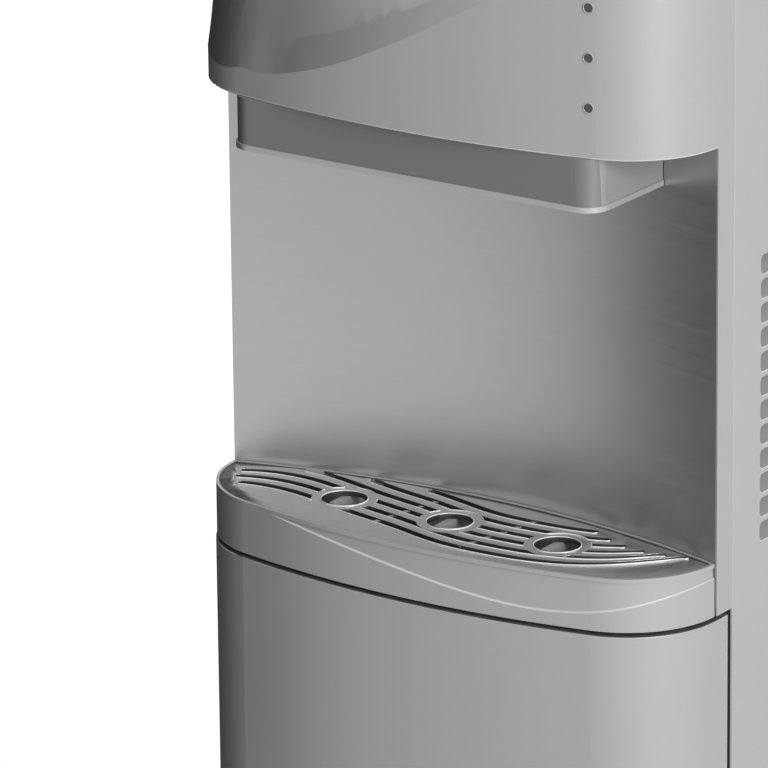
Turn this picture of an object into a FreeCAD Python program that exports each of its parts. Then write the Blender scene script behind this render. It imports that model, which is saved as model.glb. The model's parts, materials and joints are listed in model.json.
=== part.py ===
import FreeCAD, Part
import math
import os

# Bottom load water cooler, as separate pieces. Millimetres, +Z up, -Y is the front, +X the user's right.
# The origin is on the floor, under the middle of the whole machine.

# ---------------------------------------------------------------- overall sizes
WIDTH = 310.0            # across the side panels
DEPTH = 360.0            # front of the door to the rear stand-offs
HEIGHT = 1040.0          # floor to the top cover
HALF = WIDTH / 2
FRONT = -DEPTH / 2
REAR = DEPTH / 2

# ---------------------------------------------------------------- heights; the door takes what is left
FOOT_HEIGHT = 14.0
BASE_TOP = 42.0          # top of the base pan, the floor of the bottle bay
DOOR_LIFT = 3.0          # gap between the base pan and the door
SEAM_GAP = 2.5           # dark seam between the door and the drip tray's band
FASCIA_HEIGHT = 29.5     # front band of the drip tray
ALCOVE_HEIGHT = 226.0    # drip tray rim to the lower edge of the head
SPOUT_DROP = 25.5        # how far the spout housing hangs below the head
HEAD_HEIGHT = 200.0      # from the alcove to the top cover
COVER_HEIGHT = 22.0      # top cover

# ---------------------------------------------------------------- plan shape, a bow with round corners
DOOR_SAG = 65.5          # how far the bow stands in front of the corner line
DOOR_CORNER = 55.0
HEAD_SAG = 62.5
HEAD_CORNER = 52.0
TRAY_SETBACK = 0.6       # the tray band lies this far inside the door's surface
STRIP = 16.5             # plastic strip between the corner line and the side panel
REAR_GAP = 30.0          # room behind the rear panel, for the condenser

# ---------------------------------------------------------------- thicknesses and clearances
MOULDED = 2.4            # moulded plastic shells
SHEET = 1.0              # folded steel panels
LINER = 1.5
FLANGE = 12.0            # folded edges of the panels
DECK_THICK = 4.0
FIT_GAP = 0.4            # between pieces that only lie near each other
SEAM_GROOVE = 0.4        # fine line where two skins meet
SLIDE_GAP = 0.5          # between pieces that slide past each other
PIN_CLEARANCE = 0.06     # radial, pins in their bushes and holes
LIP_ROUND = 1.0          # rounded lower edge of the head

# ---------------------------------------------------------------- water channels, left to right
CHANNELS = {"hot": -1, "room": 0, "cold": 1}
CHANNEL_PITCH = 68.4     # between neighbouring spouts, cup rings and buttons
SPOUT_BEHIND = 19.0      # spouts and cup rings in front of the corner line

# ---------------------------------------------------------------- places that follow
HEAD_Z1 = HEIGHT - COVER_HEIGHT
HEAD_Z0 = HEAD_Z1 - HEAD_HEIGHT
SPOUT_Z0 = HEAD_Z0 - SPOUT_DROP
TRAY_TOP = HEAD_Z0 - ALCOVE_HEIGHT
FASCIA_Z0 = TRAY_TOP - FASCIA_HEIGHT
DECK_Z0 = FASCIA_Z0
DECK_Z1 = DECK_Z0 + DECK_THICK
DOOR_Z0 = BASE_TOP + DOOR_LIFT
DOOR_Z1 = FASCIA_Z0 - SEAM_GAP
CORNER_Y = FRONT + DOOR_SAG
SEAM_Y = CORNER_Y + STRIP
PANEL_REAR = REAR - REAR_GAP
CHANNEL_Y = CORNER_Y - SPOUT_BEHIND
VALVE_Z0 = HEAD_Z0 + MOULDED

# ---------------------------------------------------------------- the alcove's curved steel wall
WALL_SAG = 24.0          # how deep it is hollowed
WALL_SHEET = 0.8
WALL_HALF = HALF - FIT_GAP
WALL_RADIUS = (WALL_HALF ** 2 + WALL_SAG ** 2) / (2 * WALL_SAG)
WALL_CENTRE_Y = CORNER_Y + WALL_SAG - WALL_RADIUS

# ---------------------------------------------------------------- the scooped hollow in the head
SWOOSH_LOW = 14.4        # its lower edge above the head's lower edge, at the left
SWOOSH_RISE = 112.0      # how much higher that edge ends
SWOOSH_START = 43.0 - HALF    # where it starts to rise
SWOOSH_RUN = WIDTH - 5.0
SCOOP_DEPTH = 15.0
SCOOP_DEEPEST = 0.6      # share of the hollow's height where it is deepest
SCOOP_SIDE = 0.25        # share of the depth left at the side planes
SCOOP_TOP_LOSS = 0.45    # share of the depth lost again at the top
SCOOP_COLUMNS = 17
SCOOP_ROWS = (-0.08, 0.0, 0.1, 0.25, 0.42, 0.6, 0.8, 1.04)

# ---------------------------------------------------------------- buttons, child lock, indicators
BUTTON_WIDE = 34.0
BUTTON_TALL = 22.0
BUTTON_ROUND = 6.0
BUTTON_Z = HEAD_Z1 - 44.0
BUTTON_PROUD = 5.0
BUTTON_TRAVEL = 4.0
BUTTON_FLANGE = 2.0
BUTTON_EDGE = 1.4        # rounding around the caps' faces
BUTTON_DEEP = 8.0        # the caps reach this far behind the hollow's surface
BEHIND_GAP = 1.2         # between the head's wall and what catches behind it
STEM_RADIUS = 3.0
STEM_LENGTH = 26.0
STEM_GAP = 0.3
SPRING_RADIUS = 4.6
SPRING_WIRE = 0.6
SPRING_TURNS = 5
SPRING_GAP = 0.05
CARRIER_THICK = 3.0
CARRIER_REACH = HALF - 25.0
CARRIER_TALL = 32.0
CARRIER_Y = CORNER_Y - HEAD_SAG + SCOOP_DEPTH + 24.0
BOARD_REACH = CHANNEL_PITCH + 40.0
BOARD_THICK = 1.6
SWITCH_DEEP = 6.0        # small switches on the board
RIB_DEEP = 6.0           # ribs behind the columns, against the side panels' front folds
LOCK_X = -CHANNEL_PITCH - 34.0
LOCK_WIDE = 10.0
LOCK_TALL = 12.0
LOCK_PROUD = 1.5
LOCK_RIDGE = 2.0         # the thumb ridge, proud of the knob
LOCK_KEEPER = 18.0       # height of the plate behind the wall
LOCK_TRAVEL = 6.0
LAMP_X = HALF - 45.3
LAMP_Z = HEAD_Z0 + 27.2
LAMP_PITCH = 26.45
LAMP_COUNT = 3
LAMP_RADIUS = 2.75
LAMP_LENGTH = 9.0
LAMP_PROUD = 0.35

# ---------------------------------------------------------------- spouts, their housing and valves
HOUSING_HALF = HALF - 40.0
HOUSING_FRONT = CORNER_Y - 54.5
HOUSING_ROUND = 12.0
PLATE_THICK = 3.0
PLATE_PROUD = 1.0
SPOUT_RADIUS = 7.5
SPOUT_BORE = 4.5
SPOUT_BELOW = 6.0        # below the plate
SPOUT_COLLAR = 3.0
SPOUT_SEAT = 6.0         # how far the spout goes into its valve
VALVE_WIDE = 30.0
VALVE_TALL = 34.0
COIL_RADIUS = 11.0
COIL_TALL = 26.0
VALVE_INLET = 8.0
VALVE_INLET_Z = VALVE_Z0 + 20.0
VALVE_INLET_Y = CHANNEL_Y + VALVE_WIDE / 2 + VALVE_INLET

# ---------------------------------------------------------------- drip tray and grille
TRAY_WALL = 2.4
TRAY_RIM = 1.6
CREASE_STEP = 1.0
CREASE_BEVEL = 0.9
CREASE_LIP = 2.2         # the rim stays proud of the recessed band
# the crease: share of HALF from the middle, and height from the rim
CREASE = ((-0.723, 1.5), (-0.426, -4.6), (-0.077, -11.9), (0.245, -18.8), (0.542, -21.5), (0.819, -16.0),
          (1.019, -6.0))
GRILLE_THICK = 3.0
GRILLE_LOW = 0.5         # the grille lies this far below the rim
GRILLE_LEDGE = 2.6
GRILLE_Z1 = TRAY_TOP - GRILLE_LOW
GRILLE_Z0 = GRILLE_Z1 - GRILLE_THICK
LEDGE_Z = GRILLE_Z0 - FIT_GAP
BASIN_Z = DECK_Z1 + SLIDE_GAP + TRAY_WALL
RING_HOLE = 12.8
RING_LAND = 18.0
SLOT_WIDE = 5.6
SLOT_PITCH = 10.9
SLOT_FIRST = -50.0       # front slot's middle line, from the corner line, where it runs along X
# left ends, front slot first, as shares of HALF; each slot further back ends sooner at the right
SLOT_LEFT = (-0.839, -0.884, -0.903, -0.714, -0.458, -0.226)
SLOT_RIGHT = HALF - 20.0
SLOT_STAGGER = 12.4
# the slots' middle line: share of HALF from the middle, and distance behind SLOT_FIRST
SLOT_WAVE = ((-0.942, 14), (-0.761, 25.2), (-0.581, 24), (-0.374, 16), (-0.129, 8.4), (0.077, 0.8),
             (0.271, 0), (0.465, 4), (0.645, 16), (0.8, 38), (0.903, 57))
BRIDGE_WIDE = 3.0
BRIDGE_X = 31.0
BRIDGE_LEAN = 12.0
BRIDGE_DROP = 0.8
BRIDGE_FRONT = 48.0      # from the corner line to the bridges' front ends
BRIDGE_BACK = 8.0
POST_WIDE = 3.5
POST_X = 5.2             # the posts below the grille stand this far left of the spouts

# ---------------------------------------------------------------- cabinet
PLINTH_SET_IN = 3.0
BASE_WALL = 2.5
FOOT_RADIUS = 16.0
FOOT_TAPER = 3.0
FOOT_BOSS = 2.0          # wall of the base pan's bosses around the feet
FOOT_X = HALF - 37.0
FOOT_FRONT_Y = CORNER_Y - 18.0
FOOT_REAR_Y = PANEL_REAR - 28.0
PANEL_Z0 = FOOT_HEIGHT + 2.0
PANEL_EDGE = 0.7         # rounded front edge of the side panels
VENT_LENGTH = 92.0
VENT_TALL = 10.9
VENT_PITCH = 13.4
VENT_COUNT = 12
VENT_ROUND = 3.0
VENT_START = 43.0        # behind the corner line
VENT_LOW = -1.0          # lowest vent, from the tray's rim
FRAME_START = 14.5       # the door frame's face, behind the corner line
FRAME_OPEN_HALF = HALF - 16.0
FRAME_RAIL = 12.0
LINER_BACK = PANEL_REAR - 4.0
LINER_ROUND = 20.0
BOTTLE_RADIUS = FRAME_OPEN_HALF - 3.0
BOTTLE_Y = -DEPTH / 24
REST_THICK = 5.0
REST_DISH = 2.5

# ---------------------------------------------------------------- door
HINGE_PIN = 2.0
HINGE_BUSH = 1.2         # wall of the bushes
HINGE_X = 4.8 - HALF
HINGE_Y = CORNER_Y + 7.5
HINGE_PLATE = 1.6
HINGE_BOSS = 14.0
DOOR_EDGE = 13.0         # the door wraps this far behind the corner line
DOOR_EDGE_ROUND = 1.6
DOOR_RIM_ROUND = 0.5
DOOR_THICK = 11.0
MAGNET_TALL = 60.0
MAGNET_WIDE = 6.0
MAGNET_Z = (DOOR_Z0 + DOOR_Z1 - MAGNET_TALL) / 2

# ---------------------------------------------------------------- condenser on the back
CONDENSER_HALF = HALF - 37.0
CONDENSER_Z1 = HEAD_Z0 - 88.0
CONDENSER_PITCH = 52.8
CONDENSER_LIFT = 54.0    # least height of the lowest pass above the base pan
# an odd number of passes, so that the tube ends at its other side
CONDENSER_PASSES = 2 * int((CONDENSER_Z1 - BASE_TOP - CONDENSER_LIFT) / (2 * CONDENSER_PITCH)) + 1
CONDENSER_Z0 = CONDENSER_Z1 - (CONDENSER_PASSES - 1) * CONDENSER_PITCH
CONDENSER_Y = REAR - 12.0
CONDENSER_TUBE = 2.6
WIRE_RADIUS = 0.8
WIRE_COUNT = 22
WIRE_OVER = 12.0         # the wires reach this far past the outer passes
BRACKET_TALL = 24.0

# ---------------------------------------------------------------- top cover and rear panel
COVER_ROUND = 8.0
COVER_EDGE = 0.6
SWITCH_PITCH = 34.0
SWITCH_Z = HEAD_Z0 - 38.0
SWITCH_WIDE = 15.0
SWITCH_TALL = 21.0
PLATE_HALF = 58.0
PLATE_TALL = 42.0
ROCKER_TILT = 9.0
ROCKER_OUT = 1.0         # the rockers' pivots, outside the rear panel
ROCKER_PIN = 1.2
ROCKER_PIN_OUT = 1.4     # the pins reach this far into the plate at each side
INLET_X = 51.0 - HALF
INLET_Z = SWITCH_Z
INLET_WIDE = 27.0
INLET_TALL = 20.0
INLET_DEEP = 20.0
DRAIN_X = 27.0 - HALF
DRAIN_Z = CONDENSER_Z1 - 2.5 * CONDENSER_PITCH    # in the middle of one of the condenser's bends
DRAIN_BORE = 8.0
PLUG_RADIUS = 4.5
PIPE_X = HALF - 19.0     # where the hot gas pipe leaves through the rear panel
PIPE_Z = CONDENSER_Z1 - 8.0
CAPILLARY_X = HALF - 18.0    # where the fine tube goes in again
CAPILLARY_Z = CONDENSER_Z1 + 34.0
REAR_SLOTS = 9
REAR_SLOT_PITCH = 12.0
REAR_SLOT_WIDE = 160.0

# ---------------------------------------------------------------- cold side, in the head
SHELF_Z = HEAD_Z0 + 14.0
SHELF_THICK = 1.5
INSULATION_HALF = HALF - 63.0
INSULATION_Y0 = SEAM_Y + 38.0
INSULATION_Y1 = PANEL_REAR - 40.0
INSULATION_Z1 = HEAD_Z1 - 8.0
COPPER = 3.2             # radius of the evaporator's tube
COIL_TURNS = 6
TANK_RADIUS = min(INSULATION_HALF - 26.0, (INSULATION_Y1 - INSULATION_Y0) / 2 - 19.0)
TANK_SHEET = 0.8
TANK_Y = (INSULATION_Y0 + INSULATION_Y1) / 2
TANK_Z0 = SHELF_Z + 22.0
TANK_Z1 = INSULATION_Z1 - 24.0
COLD_PORT = (TANK_RADIUS * 0.6, HEAD_Z0 + 50.0)    # x and z of the front ports
ROOM_PORT = (0.0, HEAD_Z0 + 82.0)
FEED_X = -10.0           # port in the bottom, to the hot tank
FILL_X = -30.0           # port in the top, from the pump
PORT_RADIUS = 4.0
PORT_OUT = 6.0           # ports stand this far out of the foam

# ---------------------------------------------------------------- hot side and works, on the deck
HOT_X = -HALF * 0.542
HOT_Y = DEPTH / 12
HOT_RADIUS = HALF * 0.31
HOT_Z0 = DECK_Z1 + 40.0
HOT_TALL = 150.0
HOT_Z1 = HOT_Z0 + HOT_TALL
HOT_ROUND = 10.0
HOT_PORT = 22.0          # the top port's length
HOT_INLET_Z = HOT_Z0 + 6.0
HOT_INLET = 8.0
HOT_DRAIN_X = HOT_X + 30.0
HOT_DRAIN = 12.0
TANK_WALL = 1.0
JACKET = 14.0            # thickness of the hot tank's jacket
COMPRESSOR_X = HALF * 0.426
COMPRESSOR_Y = HOT_Y + 8.0
COMPRESSOR_RADIUS = HALF * 0.4
COMPRESSOR_TALL = 150.0
COMPRESSOR_ROUND = 30.0
CAN_WALL = 8.0           # stands for the can and the motor inside it
CAN_SEAM = 3.0
STUB_X = 20.0            # the compressor's two pipe stubs, from its middle
GROMMET = 12.0
PUMP_X = HOT_X + 14.0
PUMP_Y = PANEL_REAR - 32.0
PUMP_AXIS = 24.0         # above the deck
PUMP_PORT_X = PUMP_X - 22.0
PUMP_OUTLET = 32.0

# ---------------------------------------------------------------- pipes and hoses, all held inside
HOSE = 4.0               # outer radius of the soft hoses
HOSE_BORE = 2.5
PIPE = 3.2               # outer radius of the copper pipes
FINE_TUBE = 1.2
COMPRESSOR_PORT_Y = PANEL_REAR - 32.0
COMPRESSOR_PORT_Z = DECK_Z1 + GROMMET + 60.0
PROBE_X = 37.0 - HALF
PROBE_Y = LINER_BACK - 30.0
PROBE_TOP = DECK_Z0 - 40.5
PROBE_STUB = 14.0
COLLAR_RADIUS = 26.0
COLLAR_TALL = 22.0
DIP_RADIUS = 5.0
DIP_WALL = 1.6


# ================================================================ helpers
def vec(x, y, z=0.0):
    return FreeCAD.Vector(x, y, z)


def block(x0, x1, y0, y1, z0, z1):
    return Part.makeBox(x1 - x0, y1 - y0, z1 - z0, vec(x0, y0, z0))


def rod(radius, start, end):
    along = end.sub(start)
    return Part.makeCylinder(radius, along.Length, start, along)


def pipe(outer, inner, start, end):
    """A straight tube, open at both ends."""
    return rod(outer, start, end).cut(rod(inner, start, end))


def rounded(shape, radius, axis):
    """Rounds every straight edge that runs along the axis vector."""
    edges = []
    for edge in shape.Edges:
        if edge.Curve.TypeId == "Part::GeomLine":
            if abs(abs(edge.Curve.Direction.dot(axis)) - 1) < 1e-6:
                edges.append(edge)
    return shape.makeFillet(radius, edges)


def joined(shapes):
    return shapes[0].multiFuse(shapes[1:]).removeSplitter()


def cut_all(shape, tools):
    return shape.cut(Part.makeCompound(tools)) if tools else shape


def mirrored(shape):
    """The same shape on the other side of the machine."""
    return shape.mirror(vec(0, 0), vec(1, 0))


def bow_radius(sag, corner, half=HALF):
    """Radius of the long front arc that meets both corner arcs smoothly."""
    return ((half - corner) ** 2 + sag ** 2 - corner ** 2) / (2 * (sag - corner))


def bow_face(sag, corner, inset, back, z, half=HALF):
    """Plan outline: straight back at y = back, straight sides, round corners and a bowed front."""
    long_r = bow_radius(sag, corner, half) - inset
    corner_r = corner - inset
    side = half - inset
    long_y = CORNER_Y - (sag - inset) + long_r
    turn = math.atan2(CORNER_Y - long_y, half - corner)
    meet = vec(long_r * math.cos(turn), long_y + long_r * math.sin(turn), z)
    middle = turn / 2
    bend = vec(half - corner + corner_r * math.cos(middle), CORNER_Y + corner_r * math.sin(middle), z)
    tip = vec(0, CORNER_Y - sag + inset, z)
    right = vec(side, CORNER_Y, z)

    def flip(p):
        return vec(-p.x, p.y, p.z)

    edges = [
        Part.LineSegment(vec(-side, back, z), flip(right)),
        Part.Arc(flip(right), flip(bend), flip(meet)),
        Part.Arc(flip(meet), tip, meet),
        Part.Arc(meet, bend, right),
        Part.LineSegment(right, vec(side, back, z)),
        Part.LineSegment(vec(side, back, z), vec(-side, back, z)),
    ]
    return Part.Face(Part.Wire([e.toShape() for e in edges]))


def bow_prism(sag, corner, inset, back, z0, z1, half=HALF):
    return bow_face(sag, corner, inset, back, z0, half).extrude(vec(0, 0, z1 - z0))


def route(points, share=0.45):
    """A wire of straight runs joined by tangent arcs, for hoses and pipes."""
    pts = [vec(*p) for p in points]
    edges = []
    start = pts[0]
    for before, here, after in zip(pts, pts[1:], pts[2:]):
        one = here.sub(before)
        two = after.sub(here)
        turn = one.getAngle(two)
        reach = share * min(one.Length, two.Length)
        first = here.sub(vec(*one).normalize().multiply(reach))
        last = here.add(vec(*two).normalize().multiply(reach))
        bisector = first.add(last).multiply(0.5).sub(here).normalize()
        radius = reach / math.tan(turn / 2)
        middle = here.add(bisector.multiply(radius / math.cos(turn / 2) - radius))
        if start.distanceToPoint(first) > 1e-6:
            edges.append(Part.LineSegment(start, first).toShape())
        edges.append(Part.Arc(first, middle, last).toShape())
        start = last
    edges.append(Part.LineSegment(start, pts[-1]).toShape())
    return Part.Wire(edges)


def swept(wire, radius):
    """A solid round bar along a wire."""
    first = wire.Edges[0]
    at = first.valueAt(first.FirstParameter)
    heading = first.tangentAt(first.FirstParameter)
    ring = Part.Wire(Part.makeCircle(radius, at, heading))
    return wire.makePipeShell([ring], True, True)


def hose(points, outer, inner, share=0.45):
    wire = route(points, share)
    return swept(wire, outer).cut(swept(wire, inner))


def wall_disc(radius, z0, z1):
    """Everything in front of the alcove wall's curve, when the radius is WALL_RADIUS."""
    return Part.makeCylinder(radius, z1 - z0, vec(0, WALL_CENTRE_Y, z0))


# ================================================================ points on the bowed outline
def bow_at(sag, corner, inset, share):
    """A point of the outline, by its share of the way from the left side to the right one."""
    long_r = bow_radius(sag, corner)
    long_y = CORNER_Y - sag + long_r
    turn = math.atan2(CORNER_Y - long_y, HALF - corner)
    bend = -turn
    sweep = math.pi / 2 - bend
    corner_run = corner * bend
    long_run = long_r * sweep
    along = abs(share * 2 - 1) * (long_run + corner_run)
    side = 1 if share > 0.5 else -1
    if along <= long_run:
        angle = along / long_r
        reach = long_r - inset
        return vec(side * reach * math.sin(angle), long_y - reach * math.cos(angle))
    angle = sweep + (along - long_run) / corner
    reach = corner - inset
    return vec(side * (HALF - corner + reach * math.sin(angle)), CORNER_Y - reach * math.cos(angle))


def bow_front(sag, corner, x):
    """The outline's point at this x, and the outward direction there."""
    low, high = 0.0, 1.0
    for _ in range(40):
        middle = (low + high) / 2
        if bow_at(sag, corner, 0, middle).x < x:
            low = middle
        else:
            high = middle
    point = bow_at(sag, corner, 0, low)
    outward = point.sub(bow_at(sag, corner, 1, low)).normalize()
    return point, outward


def section_wire(section):
    """A curved front edge closed by three straight edges."""
    curved, top, bottom = section
    curve = Part.BSplineCurve()
    curve.interpolate(curved)
    ends = [(curved[-1], top), (top, bottom), (bottom, curved[0])]
    lines = [Part.LineSegment(one, two) for one, two in ends]
    return Part.Wire([curve.toShape()] + [line.toShape() for line in lines])


def strip_loft(sections):
    """A solid through upright sections."""
    return Part.makeLoft([section_wire(section) for section in sections], True)


# ================================================================ the scooped hollow in the head


def swoosh(x):
    t = min(max((x - SWOOSH_START) / SWOOSH_RUN, 0), 1)
    return HEAD_Z0 + SWOOSH_LOW + SWOOSH_RISE * (3 * t ** 2 - 2 * t ** 3)


def scoop_inset(share, row):
    """How far the hollow lies inside the head's bow."""
    rise = 1 - (1 - row / SCOOP_DEEPEST) ** 2
    if row > SCOOP_DEEPEST:
        rise = 1 - SCOOP_TOP_LOSS * ((row - SCOOP_DEEPEST) / (1 - SCOOP_DEEPEST)) ** 2
    inward = min(1, 5 * min(share, 1 - share))
    ease = SCOOP_SIDE + (1 - SCOOP_SIDE) * (3 * inward ** 2 - 2 * inward ** 3)
    return SCOOP_DEPTH * rise * ease


def scoop_void(behind):
    """Everything in front of the hollow's surface, which is set back by 'behind'."""
    sections = []
    outset = -SCOOP_DEPTH
    for column in range(SCOOP_COLUMNS):
        share = column / (SCOOP_COLUMNS - 1)
        low = swoosh(bow_at(HEAD_SAG, HEAD_CORNER, 0, share).x)
        curved = []
        for row in SCOOP_ROWS:
            point = bow_at(HEAD_SAG, HEAD_CORNER, scoop_inset(share, row) + behind, share)
            curved.append(vec(point.x, point.y, low + row * (HEAD_Z1 - low)))
        outside = bow_at(HEAD_SAG, HEAD_CORNER, outset, share)
        high, low = curved[-1].z, curved[0].z
        sections.append((curved, vec(outside.x, outside.y, high), vec(outside.x, outside.y, low)))
    void = strip_loft(sections)
    if behind:
        # the wall also turns in at both ends of the hollow
        ends = [Part.Face(section_wire(sections[end])).extrude(vec(0, behind)) for end in (0, -1)]
        void = joined([void] + ends)
    return void


def scoop_inset_at(x, z):
    share = 0.5
    for step in range(1, 30):
        share += math.copysign(0.5 ** (step + 1), x - bow_at(HEAD_SAG, HEAD_CORNER, 0, share).x)
    low = swoosh(x)
    return scoop_inset(share, (z - low) / (HEAD_Z1 - low))


# ================================================================ buttons, indicators


def channel_x(channel):
    return CHANNELS[channel] * CHANNEL_PITCH


def button_face(x):
    """Where the hollow's surface is at a button."""
    inset = scoop_inset_at(x, BUTTON_Z)
    point, outward = bow_front(HEAD_SAG, HEAD_CORNER, x)
    return point.y + inset, inset


def rounded_prism(x, z, wide, tall, radius, y0, y1):
    """A bar along Y with a rounded rectangle as its section, centred on x and z."""
    bar = block(x - wide / 2, x + wide / 2, y0, y1, z - tall / 2, z + tall / 2)
    return rounded(bar, radius, vec(0, 1)) if radius else bar


def lamp_rods(radius, inside, outside):
    point, outward = bow_front(HEAD_SAG, HEAD_CORNER, LAMP_X)
    rods = []
    for number in range(LAMP_COUNT):
        at = vec(point.x, point.y, LAMP_Z + number * LAMP_PITCH)
        inner = at.sub(vec(*outward).multiply(inside))
        outer = at.add(vec(*outward).multiply(outside))
        rods.append(rod(radius, inner, outer))
    return rods


# ================================================================ spouts and their housing


def housing_prism(grow, z0, z1):
    wide = HOUSING_HALF + grow
    box = block(-wide, wide, HOUSING_FRONT - grow, CORNER_Y + WALL_SAG, z0, z1)
    upright = []
    for edge in box.Edges:
        ends = [v.Point for v in edge.Vertexes]
        if abs(ends[0].z - ends[1].z) > 1 and ends[0].y < CORNER_Y:
            upright.append(edge)
    return box.makeFillet(HOUSING_ROUND + grow, upright)


def front_fascia():
    back = SEAM_Y - SEAM_GROOVE
    outer = bow_prism(HEAD_SAG, HEAD_CORNER, 0, back, HEAD_Z0, HEAD_Z1)
    lip = [e for e in outer.Edges if e.BoundBox.ZMax < HEAD_Z0 + 0.01 and e.BoundBox.YMax < SEAM_Y - 5]
    outer = outer.makeFillet(LIP_ROUND, lip)
    core = bow_prism(HEAD_SAG, HEAD_CORNER, MOULDED, SEAM_Y + 20, HEAD_Z0 + MOULDED, HEAD_Z1 + 1)
    shell = outer.cut(scoop_void(0)).cut(core.cut(scoop_void(MOULDED)))
    # the columns at both sides stand behind the steel wall's edges
    before_wall = wall_disc(WALL_RADIUS + WALL_SHEET + PIN_CLEARANCE, FASCIA_Z0 - 1, HEAD_Z0)
    pieces = [shell]
    for side in (-1, 1):
        inner = side * (HALF - MOULDED)
        low, high = sorted((inner, side * HALF))
        column = block(low, high, CORNER_Y, back, FASCIA_Z0, HEAD_Z0 + MOULDED)
        pieces.append(column.cut(before_wall))
        low, high = sorted((side * (HALF - SHEET - FLANGE), inner))
        pieces.append(block(low, high, SEAM_Y - RIB_DEEP, SEAM_Y, DECK_Z1, HEAD_Z1))
        low, high = sorted((inner, side * (HALF - SHEET - 0.1)))
        pieces.append(block(low, high, SEAM_Y - RIB_DEEP, SEAM_Y, DECK_Z1, HEAD_Z1))
    whole = joined(pieces)
    # the ceiling of the alcove ends behind the steel wall
    reach = HALF - MOULDED - 9
    behind = block(-reach, reach, CORNER_Y, SEAM_Y + 30, HEAD_Z0 - 1, HEAD_Z0 + MOULDED + 0.1)
    tools = [behind.cut(wall_disc(WALL_RADIUS + WALL_SHEET + 4, HEAD_Z0 - 2, HEAD_Z0 + 10))]
    for channel in CHANNELS:
        x = channel_x(channel)
        low = vec(x, CHANNEL_Y, HEAD_Z0 - 1)
        tools.append(rod(SPOUT_RADIUS + SLIDE_GAP, low, low.add(vec(0, 0, 10))))
        face, inset = button_face(x)
        tools.append(rounded_prism(x, BUTTON_Z, BUTTON_WIDE, BUTTON_TALL, BUTTON_ROUND, face - 20, face + 20))
    face, inset = button_face(LOCK_X)
    slot_wide = LOCK_WIDE + LOCK_TRAVEL + 2 * SLIDE_GAP
    slot_tall = LOCK_TALL + 2 * SLIDE_GAP
    slot_x = LOCK_X - LOCK_TRAVEL / 2
    tools.append(rounded_prism(slot_x, BUTTON_Z, slot_wide, slot_tall, 2.0, face - 20, face + 20))
    tools += lamp_rods(LAMP_RADIUS, 14, 5)
    return cut_all(whole, tools)


# ================================================================ drip tray and grille


def plan_curve(points, lift=0.0):
    curve = Part.BSplineCurve()
    curve.interpolate([vec(HALF * share, y + lift) for share, y in points])
    return curve


def part_of_curve(curve, x0, x1):
    """The stretch of a left-to-right curve between two x values."""
    ends = []
    for wanted in (x0, x1):
        low, high = curve.FirstParameter, curve.LastParameter
        for _ in range(40):
            middle = (low + high) / 2
            if curve.value(middle).x < wanted:
                low = middle
            else:
                high = middle
        ends.append(low)
    piece = curve.copy()
    piece.segment(ends[0], ends[1])
    return piece


def slot_prism(number, z0, z1):
    """One swooping slot of the grille, with round ends."""
    lift = CORNER_Y + SLOT_FIRST + number * SLOT_PITCH
    x0 = HALF * SLOT_LEFT[number]
    x1 = SLOT_RIGHT - number * SLOT_STAGGER
    near = part_of_curve(plan_curve(SLOT_WAVE, lift - SLOT_WIDE / 2), x0, x1)
    far = part_of_curve(plan_curve(SLOT_WAVE, lift + SLOT_WIDE / 2), x0, x1)
    a, b = near.value(near.FirstParameter), near.value(near.LastParameter)
    c, d = far.value(far.FirstParameter), far.value(far.LastParameter)
    left = Part.Arc(c, a.add(c).multiply(0.5).sub(vec(SLOT_WIDE / 2, 0)), a)
    right = Part.Arc(b, b.add(d).multiply(0.5).add(vec(SLOT_WIDE / 2, 0)), d)
    wire = Part.Wire([near.toShape(), right.toShape(), far.toShape(), left.toShape()])
    face = Part.Face(wire)
    face.translate(vec(0, 0, z0))
    return face.extrude(vec(0, 0, z1 - z0))


def tray_pocket(inset, z0, z1, wall_gap):
    """The space inside the tray's rim, ending at the alcove wall."""
    prism = bow_prism(DOOR_SAG, DOOR_CORNER, inset, CORNER_Y + WALL_SAG + 5, z0, z1)
    return prism.common(wall_disc(WALL_RADIUS - wall_gap, z0 - 1, z1 + 1))


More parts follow.
